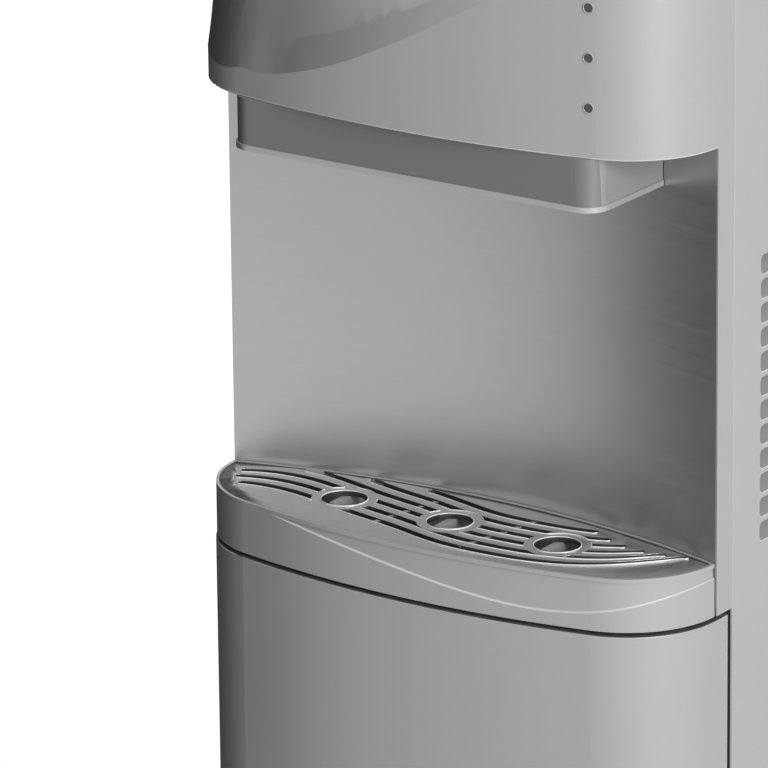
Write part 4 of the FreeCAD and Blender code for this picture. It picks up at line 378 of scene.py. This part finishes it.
def mix_colours(tree, share, first, second):
    """A colour between two colours, each a socket or three numbers."""
    node = tree.nodes.new("ShaderNodeMix")
    node.data_type = "RGBA"
    tree.links.new(share, node.inputs[0])
    for socket, value in ((node.inputs[6], first), (node.inputs[7], second)):
        if isinstance(value, bpy.types.NodeSocket):
            tree.links.new(value, socket)
        else:
            socket.default_value = (*value, 1)
    return node.outputs[2]


def pattern(tree, group, **values):
    """One of the shared patterns, with these values on its inputs."""
    node = add(tree, "ShaderNodeGroup", node_tree=group)
    for label, value in values.items():
        node.inputs[label].default_value = value
    return node.outputs


# %% Finish recipe
CLOUD_SHARE = 0.7
SPREAD = (0.25, 0.75)
COAT_ROUGH = 0.2
DUST_COLOUR = (0.55, 0.54, 0.52)
DUST_DULLS = 0.4
RELIEF = 0.001
FINISHES = {}


def two_shares(tree, first, first_share, second, second_share):
    """The sum of two values, each times its share."""
    return math_node(tree, "ADD", math_node(tree, "MULTIPLY", first, first_share),
                     math_node(tree, "MULTIPLY", second, second_share))


def finish(name, dark, light, rough, metallic=0.0, coat=0.0, grain_scale=GRAIN_SCALE,
           bump=0.02, brushed=0.0, dust_amount=0.25, blotch_scale=BLOTCH_SCALE):
    """A surface between two greys or colours, with roughness between two values."""
    stuff = bpy.data.materials.new(name)
    stuff.use_nodes = True
    tree = stuff.node_tree
    shader = tree.nodes["Principled BSDF"].inputs
    shader["Metallic"].default_value = metallic
    shader["Coat Weight"].default_value = coat
    shader["Coat Roughness"].default_value = COAT_ROUGH
    clouds = pattern(tree, blotch, Scale=blotch_scale)
    grains = pattern(tree, grain, Scale=grain_scale)
    spread = two_shares(tree, clouds["Cloud"], CLOUD_SHARE, grains["Speckle"], 1 - CLOUD_SHARE)
    height = grains["Height"]
    if brushed:
        # two noises multiplied are half as bright, so their share is doubled
        lines = pattern(tree, brush)
        spread = two_shares(tree, spread, 1 - brushed, lines["Line"], 2 * brushed)
        height = lines["Height"]
    tint = mix_colours(tree, spread, dark, light)
    powder = pattern(tree, dust, Amount=dust_amount)["Mask"]
    tree.links.new(mix_colours(tree, powder, tint, DUST_COLOUR), shader["Base Color"])
    ramp = {"Value": spread, "From Min": SPREAD[0], "From Max": SPREAD[1],
            "To Min": rough[0], "To Max": rough[1]}
    polish = add(tree, "ShaderNodeMapRange", ramp).outputs["Result"]
    dulled = math_node(tree, "ADD", polish, math_node(tree, "MULTIPLY", powder, DUST_DULLS))
    tree.links.new(dulled, shader["Roughness"])
    relief = add(tree, "ShaderNodeBump", {"Height": height, "Strength": bump, "Distance": RELIEF})
    tree.links.new(relief.outputs["Normal"], shader["Normal"])
    FINISHES[name] = stuff


# %% [markdown]
# ## The silvers
# The cabinet's silver is a paint with little metal in it, so it shades softly. The alcove's wall
# is real brushed steel and mirrors more. The grille is bright plated plastic. The housing of the
# spouts is a dark satin grey, and the lenses are nearly black under a clear coat.

# %% Silvers and greys of the outside
finish("silver_moulding", grey(0.40), grey(0.44), (0.27, 0.33), 0.12, bump=0.03)
finish("silver_panel", grey(0.42), grey(0.47), (0.28, 0.36), 0.12, grain_scale=420, bump=0.04)
finish("alcove_steel", grey(0.385), grey(0.435), (0.30, 0.36), 0.85, brushed=0.5, bump=0.03)
finish("grille_silver", grey(0.64), grey(0.70), (0.16, 0.20), 0.95, bump=0.002)
finish("housing_grey", grey(0.18), grey(0.21), (0.40, 0.50), 0.3)
finish("plate_silver", grey(0.40), grey(0.46), (0.30, 0.38), 0.4)
finish("button_silver", grey(0.34), grey(0.40), (0.28, 0.34), 0.5, coat=0.2)
finish("lens_dark", grey(0.02), grey(0.03), (0.12, 0.18), coat=0.6)
print("finishes:", len(FINISHES))

# %% [markdown]
# ## Inside and behind
# What the open door and the back show is plainer: black and grey plastic, a white liner, zinc
# plated and stainless steel, black lacquered tubes, copper pipes, rubber, silicone and foam.

# %% Plastics, metals and soft stuffs
finish("black_plastic", grey(0.018), grey(0.028), (0.42, 0.55))
finish("dark_plastic", grey(0.05), grey(0.065), (0.42, 0.55))
finish("frame_grey", grey(0.24), grey(0.28), (0.40, 0.5), 0.2)
finish("white_liner", (0.72, 0.72, 0.70), (0.78, 0.78, 0.76), (0.32, 0.42), dust_amount=0.1)
finish("zinc_steel", (0.42, 0.43, 0.44), (0.60, 0.61, 0.62), (0.35, 0.55), 0.85, blotch_scale=60)
finish("stainless", grey(0.50), grey(0.62), (0.22, 0.34), 1.0, brushed=0.5)
finish("black_steel", grey(0.012), grey(0.02), (0.34, 0.5), coat=0.2)
finish("copper", (0.55, 0.24, 0.13), (0.72, 0.36, 0.22), (0.25, 0.42), 1.0, blotch_scale=40)
finish("rubber", grey(0.015), grey(0.025), (0.65, 0.8), bump=0.08)
finish("silicone", (0.70, 0.70, 0.67), (0.80, 0.80, 0.77), (0.35, 0.45))
finish("foam", (0.78, 0.78, 0.75), (0.88, 0.88, 0.85), (0.8, 0.95), grain_scale=260, bump=0.5)
finish("circuit", (0.01, 0.10, 0.04), (0.02, 0.16, 0.06), (0.3, 0.4), blotch_scale=120)
print("finishes:", len(FINISHES))

# %% [markdown]
# ## Finishes of the fine pieces
# Films and beads carry these: the polished scoop, pale edges that are painted highlights, the
# housing's paler flank, which is painted light, the louvres' painted shade, and the three colours
# of the taps.

# %% Films, edges and marks
finish("scoop_silver", grey(0.46), grey(0.49), (0.31, 0.35), 0.88, bump=0.0)
# painted highlights for the lips and the crease, painted light for the housing's flanks, and painted
# shade for the louvre blades
finish("painted_highlight_edge", grey(0.70), grey(0.76), (0.24, 0.32), 0.1, dust_amount=0.05)
finish("painted_crease_highlight", grey(0.56), grey(0.62), (0.26, 0.34), 0.1, dust_amount=0.05)
finish("painted_light_flank", grey(0.28), grey(0.32), (0.40, 0.50), 0.2)
finish("shadow_pocket", grey(0.20), grey(0.24), (0.40, 0.5), 0.1)
finish("red_mark", (0.42, 0.02, 0.02), (0.50, 0.03, 0.03), (0.25, 0.32), coat=0.3)
finish("blue_mark", (0.02, 0.08, 0.42), (0.03, 0.11, 0.50), (0.25, 0.32), coat=0.3)
finish("pale_mark", grey(0.55), grey(0.62), (0.25, 0.32), coat=0.3)
print("finishes:", len(FINISHES))

# %% [markdown]
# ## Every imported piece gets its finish
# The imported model's record says what each piece is made of. Finishing the pieces by hand would
# miss one sooner or later, so a loop reads the record and gives each piece the finish of that name.


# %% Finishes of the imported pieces
def wear(obj, *labels):
    """Gives the piece these finishes and no others."""
    obj.data.materials.clear()
    for label in labels:
        obj.data.materials.append(FINISHES[label])


slot_of = {part["node"]: part["material_slot"] for part in frame["record"]["subparts"]}
for name, obj in nodes.items():
    wear(obj, slot_of[name])
print("pieces finished:", len(nodes))

# %% [markdown]
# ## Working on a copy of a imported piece
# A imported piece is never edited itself. Where it needs softer edges, a copy stands for it. The
# copy arrives as loose triangles, so it is merged first. Its sharp edges are then rounded with a
# bevel, which is what a mould's own radius does to a real edge.

# %% Copy helpers
MERGE_REACH = 0.000002
FLAT_TURN = 0.4
ROUND_TURN = 35
ROUND_STEPS = 2
BODIES = frame["record"]["behaviour"]["bodies"]
BODY_OF = {node: body for body, held in BODIES.items() for node in held}


def copy_of(node, name):
    """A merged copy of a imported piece, alone and active."""
    obj = bpy.data.objects.new(name, nodes[node].data.copy())
    obj.data.name = name
    bpy.context.scene.collection.objects.link(obj)
    only(obj)
    edit_mode()
    bpy.ops.mesh.select_all(action="SELECT")
    bpy.ops.mesh.remove_doubles(threshold=MERGE_REACH)
    bpy.ops.mesh.customdata_custom_splitnormals_clear()
    object_mode()
    return obj


def round_edges(obj, width):
    """Rounds every sharp edge of the piece and shades it smooth."""
    only(obj)
    edit_mode()
    bpy.ops.mesh.select_all(action="SELECT")
    bpy.ops.mesh.dissolve_limited(angle_limit=math.radians(FLAT_TURN))
    object_mode()
    shape_with(obj, "BEVEL", width=width, segments=ROUND_STEPS, limit_method="ANGLE",
               angle_limit=math.radians(ROUND_TURN))
    smooth(ROUND_TURN)


def stands_for(obj, node, *labels):
    """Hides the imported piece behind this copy, which rides as it did and wears these finishes."""
    wear(obj, *labels)
    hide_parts(node)
    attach(obj, BODY_OF[node])


def repaint(obj, number, wanted):
    """Gives the faces that the test picks, by middle and normal, the finish of that number."""
    count = 0
    for face in obj.data.polygons:
        if wanted(face.center, face.normal):
            face.material_index = number
            count += 1
    print(obj.name, "faces with finish", number, ":", count)


# %% [markdown]
# ## Films
# Where a few faces of a piece have another finish, the whole piece could be copied and repainted,
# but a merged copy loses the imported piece's own smooth shading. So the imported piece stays, and
# only those faces are copied, given a tenth of a millimetre of thickness, and laid over it. A film
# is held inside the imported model's width, so the dressed object doesn't grow.

# %% Film helpers
FILM = 0.0001
FILM_TURN = 40
FLAT = 0.9  # a normal with this much along an axis looks along it


def keep_faces(obj, wanted):
    """Selects only the faces that the test picks, and enters edit mode."""
    only(obj)
    edit_mode()
    bpy.ops.mesh.select_mode(type="FACE")
    bpy.ops.mesh.select_all(action="DESELECT")
    object_mode()
    for face in obj.data.polygons:
        face.select = wanted(face.center, face.normal)
    edit_mode()


def skin(node, name, label, wanted, turn=FILM_TURN):
    """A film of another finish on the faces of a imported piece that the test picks."""
    obj = copy_of(node, name)
    keep_faces(obj, wanted)
    bpy.ops.mesh.select_all(action="INVERT")
    bpy.ops.mesh.delete(type="FACE")
    object_mode()
    shape_with(obj, "SOLIDIFY", thickness=FILM, offset=1)
    for vertex in obj.data.vertices:
        vertex.co.x = max(cad_box[0].x, min(cad_box[1].x, vertex.co.x))
    smooth(turn)
    shape_with(obj, "WEIGHTED_NORMAL", keep_sharp=True)
    wear(obj, label)
    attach(obj, BODY_OF[node])
    print(name, "faces:", len(obj.data.polygons))


# %% [markdown]
# ## Beads
# Where an edge gets a painted highlight or a painted shadow, a thin round bead runs along it. The
# edges are taken from a merged copy of the piece, everything else of the copy is deleted, and the
# wires that stay become a curve with a round section, and then a mesh. Drawing each curve by hand
# would never follow the imported edges as closely.

# %% Bead helper
SHARP = 0.8
BEAD_TURN = 50
BEAD_STEPS = 2


def sharp_edges(obj, wanted):
    """The edges between two faces that meet at an angle, where the test picks them."""
    sides = {}
    for face in obj.data.polygons:
        for key in face.edge_keys:
            sides.setdefault(key, []).append(face.normal)
    points = obj.data.vertices
    found = set()
    for key, pair in sides.items():
        middle = (points[key[0]].co + points[key[1]].co) / 2
        if len(pair) == 2 and pair[0].dot(pair[1]) < SHARP and wanted(middle, *pair):
            found.add(key)
    return found


def bead(node, name, label, radius, wanted):
    """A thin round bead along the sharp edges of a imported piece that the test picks."""
    obj = copy_of(node, name)
    kept = sharp_edges(obj, wanted)
    edit_mode()
    bpy.ops.mesh.select_mode(type="EDGE")
    bpy.ops.mesh.select_all(action="DESELECT")
    object_mode()
    for edge in obj.data.edges:
        edge.select = edge.key not in kept
    edit_mode()
    bpy.ops.mesh.delete(type="EDGE")
    object_mode()
    bpy.ops.object.convert(target="CURVE")
    curve = bpy.context.object.data
    curve.bevel_depth = radius
    curve.bevel_resolution = BEAD_STEPS
    curve.use_fill_caps = True
    bpy.ops.object.convert(target="MESH")
    obj = bpy.context.object
    smooth(BEAD_TURN)
    wear(obj, label)
    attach(obj, BODY_OF[node])
    print(name, "edges:", len(kept), "faces:", len(obj.data.polygons))
    return obj


# %% [markdown]
# ## The machine's plan shape
# Seen from above, the door and the head bow outwards: one long arc with a round corner at each
# end. The alcove's wall is hollow, one arc the other way. These few measures tell how far any
# place lies from those curves. The faces and edges of the fine pieces are picked by that distance,
# because a list of face numbers would break if the model's mesh changed.

# %% Bows and wall
WALL_SAG = 0.024
WALL_RADIUS = 0.50996
DOOR_BOW = (0.0655, 0.055)  # sag, corner radius
HEAD_BOW = (0.0625, 0.052)
HALF_WIDTH = 0.155
CORNER_LINE = -0.1145
SIDE_SHARE = 0.35  # how much x counts in the way outwards, as the fronts are wide and shallow
UPRIGHT = 0.3


def bow_inset(place, bow):
    """How far inside a bowed front of that sag and corner radius a place lies."""
    sag, corner = bow
    straight = HALF_WIDTH - corner
    long_radius = (straight ** 2 + sag ** 2 - corner ** 2) / (2 * (sag - corner))
    long_y = CORNER_LINE - sag + long_radius
    meet = math.atan2(straight, long_y - CORNER_LINE)
    if abs(math.atan2(abs(place.x), long_y - place.y)) <= meet:
        return long_radius - math.hypot(place.x, place.y - long_y)
    if place.y > CORNER_LINE:
        return HALF_WIDTH - abs(place.x)
    return corner - math.hypot(abs(place.x) - straight, place.y - CORNER_LINE)


def wall_distance(place):
    """How far in front of the alcove's hollow steel wall a place lies."""
    return WALL_RADIUS - math.hypot(place.x, place.y - (CORNER_LINE + WALL_SAG - WALL_RADIUS))


def upright(normal):
    return abs(normal.z) < UPRIGHT


print("door bow, metres inside at the middle of the wall:",
      round(bow_inset(Vector((0, CORNER_LINE + WALL_SAG, 0)), DOOR_BOW), 4))

# %% [markdown]
# ## Drip grille
# The grille is a thin moulded plate with swooping slots. Its slots have soft lips, seen as fine
# bright lines on the side towards the user, and so do the three rings that the cups stand over.
# The plate is a copy with rounded edges, with painted shade in black on its slot walls, and each
# lip is a bead along the slot's near edge, in a pale finish that is a painted highlight.

# %% Where the grille's slots, rings and outline are
OUTLINE_REACH = 0.0045
RING_REACH = 0.0135
SPOUT_RADIUS = 0.0105
TOP_REACH = 0.0001
GRILLE_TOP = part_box("drip_grille")[1].z
spouts_low, spouts_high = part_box("spouts")
ring_y = (spouts_low.y + spouts_high.y) / 2
ring_x = (spouts_low.x + SPOUT_RADIUS, 0.0, spouts_high.x - SPOUT_RADIUS)
print("rings at x", [round(x, 4) for x in ring_x], "and y", round(ring_y, 4))


def near_ring(place):
    return any(math.hypot(place.x - x, place.y - ring_y) < RING_REACH for x in ring_x)


def on_outline(place):
    return bow_inset(place, DOOR_BOW) < OUTLINE_REACH or wall_distance(place) < OUTLINE_REACH


def in_slot_painted_shade(middle, normal):
    return upright(normal) and not on_outline(middle)


# %% Grille plate
PLATE_ROUNDING = 0.00035
grille = copy_of("drip_grille", "grille_plate")
round_edges(grille, PLATE_ROUNDING)
stands_for(grille, "drip_grille", "grille_silver", "black_plastic")
# the slot walls get the black finish as painted shade
repaint(grille, 1, in_slot_painted_shade)

# %% Lips of the slots and rings
LIP_RADIUS = 0.00036
LOOKS_AWAY = 0.25


def lip_edge(middle, first, second):
    """A top edge whose wall looks away from the user, or any top edge of a ring's hole."""
    if middle.z < GRILLE_TOP - TOP_REACH or on_outline(middle):
        return False
    wall = first if upright(first) else second
    return near_ring(middle) or wall.y > LOOKS_AWAY


# the lips' pale finish is a painted highlight
bead("drip_grille", "grille_lips", "painted_highlight_edge", LIP_RADIUS, lip_edge)

# %% [markdown]
# ## Drip tray
# The band of the tray is set in above a swooping crease, and the crease's narrow chamfer looks up,
# so it shines. The solid has the chamfer, and a film of a lighter grey paints a highlight on it.
# Its faces are the tilted ones between the tray's foot and its rim that look outwards.

# %% Bright crease
tray_low, tray_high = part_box("drip_tray")
CREASE_FOOT = 0.004
CREASE_HEAD = 0.0008
CREASE_TILT = (0.35, 0.93)


def on_crease(middle, normal):
    outward = Vector((middle.x * SIDE_SHARE, middle.y - tray_high.y))
    between = tray_low.z + CREASE_FOOT < middle.z < tray_high.z - CREASE_HEAD
    tilted = CREASE_TILT[0] < normal.z < CREASE_TILT[1]
    return between and tilted and outward.dot(Vector((normal.x, normal.y))) > 0


skin("drip_tray", "tray_crease", "painted_crease_highlight", on_crease)

# %% [markdown]
# ## Shadow line around the grille
# A dark line lies between the tray's rim and the grille, because the real gap is narrow and deep.
# The gap between the solids is too shallow to look so dark, so a bead of black runs along the
# grille's outline.

# %% Shadow line
SHADOW_RADIUS = 0.00034


def outline_edge(middle, first, second):
    return middle.z > GRILLE_TOP - TOP_REACH and on_outline(middle)


# the bead is a painted shadow, given the black rubber finish
bead("drip_grille", "grille_shadow_line", "rubber", SHADOW_RADIUS, outline_edge)

# %% [markdown]
# ## Head
# The scoop in the head is polished more than the rest, so it mirrors the dark side of the room.
# The head's lower edge ends in a thin rounded lip, and a pale film on it is a painted highlight.
# Both are films on the imported piece: the scoop's faces are the ones that look outwards but lie
# inside the outer bow. The scoop is one smooth hollow, so its film is shaded smooth over nearly
# any angle.

# %% Polished scoop
SCOOP_FROM = 0.826
SCOOP_BACK = CORNER_LINE + 0.01
SCOOP_STEP = 0.00025
SCOOP_DEEP = 0.019
SCOOP_LEAN = 0.03
SCOOP_TURN = 170
FACING = 0.45


def in_scoop(middle, normal):
    outward = Vector((middle.x * SIDE_SHARE, middle.y - CORNER_LINE, 0)).normalized()
    outer = middle.z > SCOOP_FROM and middle.y < SCOOP_BACK and outward.dot(normal) > FACING
    inset = bow_inset(middle, HEAD_BOW)
    return outer and inset < SCOOP_DEEP and (inset > SCOOP_STEP or abs(normal.z) > SCOOP_LEAN)


skin("front_fascia", "head_scoop", "scoop_silver", in_scoop, SCOOP_TURN)

# %% Painted highlight on the lip under the head
LIP_TOP = 0.8195
LIP_TILT = (-0.97, -0.15)
LIP_DEEP = 0.0012


def on_lip(middle, normal):
    tilted = LIP_TILT[0] < normal.z < LIP_TILT[1]
    return middle.z < LIP_TOP and tilted and bow_inset(middle, HEAD_BOW) < LIP_DEEP


skin("front_fascia", "head_lip", "painted_highlight_edge", on_lip)

# %% [markdown]
# ## Louvres
# The side panels have a column of pressed louvres. The real blades lie in the shade of their own
# openings, and each opening has a pressed lower lip that shines as a thin line. The blades get a
# film of a darker grey, which is painted shade, and the lips are beads whose pale finish is a
# painted highlight, drawn in by their radius so that they stay inside the panel's face.

# %% Louvres of both side panels
PANEL_FACE = 0.1548
BLADE_OUT = 0.2
BLADE_TILT = (0.15, 0.95)
BLADE_FACE = (0.1540, 0.1549)
LOUVRE_ROWS = (0.58, 0.76)
LOUVRE_LIP = 0.0004
SIDEWAYS = 0.5


def dress_louvres(side, label):
    """Painted shade on the blades and painted highlights on the lips of one side panel: side is 1 on
    the right, -1 on the left.
    """
    panel = label + "_side_panel"

    def on_blade(middle, normal):
        slanted = side * normal.x > BLADE_OUT and BLADE_TILT[0] < normal.z < BLADE_TILT[1]
        sunk = side * normal.x > FLAT and BLADE_FACE[0] < side * middle.x < BLADE_FACE[1]
        return slanted or sunk

    def on_lower_lip(middle, first, second):
        wall = first if abs(first.x) < SIDEWAYS else second
        outside = side * middle.x > PANEL_FACE and wall.z > BLADE_TILT[0]
        return outside and LOUVRE_ROWS[0] < middle.z < LOUVRE_ROWS[1]

    skin(panel, label + "_louvre_blades", "shadow_pocket", on_blade)
    lips = bead(panel, label + "_louvre_lips", "painted_highlight_edge", LOUVRE_LIP, on_lower_lip)
    only(lips)
    edit_mode()
    bpy.ops.mesh.select_all(action="SELECT")
    bpy.ops.transform.translate(value=(-side * LOUVRE_LIP, 0, 0))
    object_mode()


dress_louvres(1, "right")
dress_louvres(-1, "left")

# %% [markdown]
# ## Painted shade in the seams around the door
# The gaps around the door read as fine black lines, as real deep gaps lie in shade. These gaps are
# shallow, so their shade is painted: a black film, in the rubber finish, on the door's top edge and
# on the face of the frame that the door closes against.

# %% Painted shade in the door's seams
SHADE_TOP_REACH = 0.0006
SHADE_FACE_REACH = 0.0003
DOOR_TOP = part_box("door_skin")[1].z
FRAME_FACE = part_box("door_frame")[0].y


def on_door_top(middle, normal):
    return normal.z > FLAT and middle.z > DOOR_TOP - SHADE_TOP_REACH


def on_frame_face(middle, normal):
    return normal.y < -FLAT and middle.y < FRAME_FACE + SHADE_FACE_REACH


# both films are painted shade, in the black rubber finish
skin("door_skin", "door_top_painted_shade", "rubber", on_door_top)
skin("door_frame", "frame_face_painted_shade", "rubber", on_frame_face)

# %% [markdown]
# ## Spout housing
# The housing under the head is dark satin plastic, and its right flank looks at the bright side of
# the room. One finish for all of it left that flank too dark, so the flanks get a paler film, which
# is painted light.

# %% Flanks of the spout housing
FLANK_REACH = 0.001
HOUSING_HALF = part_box("spout_housing")[1].x


def on_flank(middle, normal):
    return abs(normal.x) > FLAT and abs(middle.x) > HOUSING_HALF - FLANK_REACH


# the paler film is painted light on the flanks
skin("spout_housing", "housing_flanks", "painted_light_flank", on_flank)

# %% [markdown]
# ## Marks on the buttons
# Each of the three taps has its colour: a small domed dot, set into the button's face. One dot is
# a short cylinder whose front face is inset and pushed out three times, and the others are copies
# of it, each with its own mesh.


# %% Helpers for copies
def moved_copy(obj, name, shift):
    """A copy with its own mesh, moved by this much."""
    twin = obj.copy()
    twin.data = obj.data.copy()
    twin.name = twin.data.name = name
    bpy.context.scene.collection.objects.link(twin)
    twin.data.transform(Matrix.Translation(shift))
    return twin


def button_front(node):
    low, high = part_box(node)
    return Vector(((low.x + high.x) / 2, low.y, (low.z + high.z) / 2))


# %% One dot
DOT_SIDES = 32
DOT_RADIUS = 0.0032
DOT_DEEP = 0.0016
DOT_SUNK = 0.0003
DOT_DROP = 0.005
DOT_STEPS = 3
DOT_INSET = 0.0007
DOT_RISE = 0.00006
FRONT_REACH = 0.00001
FORWARDS = (math.pi / 2, 0, 0)
dot_at = button_front("room_button") + Vector((0, DOT_DEEP / 2 + DOT_SUNK, -DOT_DROP))
bpy.ops.mesh.primitive_cylinder_add(vertices=DOT_SIDES, radius=DOT_RADIUS, depth=DOT_DEEP,
                                    location=dot_at, rotation=FORWARDS)
dot = settle(named("room_dot"))
for step in range(DOT_STEPS):
    front = min(vertex.co.y for vertex in dot.data.vertices)
    keep_faces(dot, lambda middle, normal: normal.y < -FLAT and middle.y < front + FRONT_REACH)
    bpy.ops.mesh.inset(thickness=DOT_INSET)
    bpy.ops.transform.translate(value=(0, -DOT_RISE, 0))
    object_mode()
smooth(BEAD_TURN)
print("dot, faces:", len(dot.data.polygons))

# %% Three dots
dots = {"room": dot}
for channel in ("hot", "cold"):
    shift = button_front(channel + "_button") - button_front("room_button")
    dots[channel] = moved_copy(dot, channel + "_dot", shift)
for channel, label in (("hot", "red_mark"), ("room", "pale_mark"), ("cold", "blue_mark")):
    wear(dots[channel], label)
    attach(dots[channel], BODY_OF[channel + "_button"])
print("dots:", len(dots))

# %% [markdown]
# ## Springs behind the buttons
# Each button is pushed back by a small coil spring that sits between the cap and the carrier. The
# spring can't slide with the button, because its rear end stays where it is. A copy of it stands
# for it, with a mesh of its own, and rides with the spring's body.

# %% Springs
for channel in ("hot", "room", "cold"):
    node = channel + "_button_spring"
    spring = copy_of(node, channel + "_spring_coil")
    smooth(BEAD_TURN)
    stands_for(spring, node, slot_of[node])
    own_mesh(spring)

# %% [markdown]
# ## Screws on the back
# The rear panel is held by small pan head screws with a cross recess. One head is a cylinder whose
# outer face is inset and raised, cut by two thin blocks, as a driver's blades would, and then
# rounded. The rest are copies.

# %% One screw head
SCREW_SIDES = 24
SCREW_RADIUS = 0.0034
SCREW_TALL = 0.0016
SCREW_INSET = 0.0009
SCREW_DOME = 0.0004
SCREW_ROUNDING = 0.00015
SCREW_X = 0.1488
SCREW_Z = (0.060, 0.330, 0.780, 0.985)
BACK_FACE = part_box("rear_panel")[1].y
first_at = Vector((SCREW_X, BACK_FACE + SCREW_TALL / 2, SCREW_Z[0]))
bpy.ops.mesh.primitive_cylinder_add(vertices=SCREW_SIDES, radius=SCREW_RADIUS, depth=SCREW_TALL,
                                    rotation=FORWARDS, location=first_at)
screw = settle(named("rear_screw_0"))
keep_faces(screw, lambda middle, normal: normal.y > FLAT)
bpy.ops.mesh.inset(thickness=SCREW_INSET)
bpy.ops.transform.translate(value=(0, SCREW_DOME, 0))
object_mode()

# %% Its cross recess
BLADE_WIDE = 0.0040
BLADE_THIN = 0.0008
BLADE_DEEP = 0.0024
BLADE_AT = 0.0022
for wide, tall in ((BLADE_WIDE, BLADE_THIN), (BLADE_THIN, BLADE_WIDE)):
    bpy.ops.mesh.primitive_cube_add(size=1, location=(SCREW_X, BACK_FACE + BLADE_AT, SCREW_Z[0]),
                                    scale=(wide, BLADE_DEEP, tall))
    blade = settle(named("driver_blade"))
    only(screw)
    shape_with(screw, "BOOLEAN", object=blade, solver="EXACT")
    bpy.data.objects.remove(blade)
round_edges(screw, SCREW_ROUNDING)
screw.data.materials.append(FINISHES["zinc_steel"])
print("screw head, faces:", len(screw.data.polygons))

# %% Eight screws
screws = [screw]
for side in (1, -1):
    for height in SCREW_Z:
        if (side, height) != (1, SCREW_Z[0]):
            shift = Vector((side * SCREW_X - SCREW_X, 0, height - SCREW_Z[0]))
            screws.append(moved_copy(screw, "rear_screw_" + str(len(screws)), shift))
for each in screws:
    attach(each, "cabinet")
print("screws:", len(screws))

# %% [markdown]
# ## Indicators
# Three small dark lenses sit in the head's right side, each in a fine bezel. A ring could be
# turned for each of them, but the lens's front edge already has the right shape on the bowed face,
# so the bezel is a bead around that edge.

# %% Bezels
BEZEL_RADIUS = 0.0003
BEZEL_REACH = 0.0002


def front_edge(middle, first, second):
    return bow_inset(middle, HEAD_BOW) < BEZEL_REACH


bead("indicator_lenses", "indicator_bezels", "silver_moulding", BEZEL_RADIUS, front_edge)
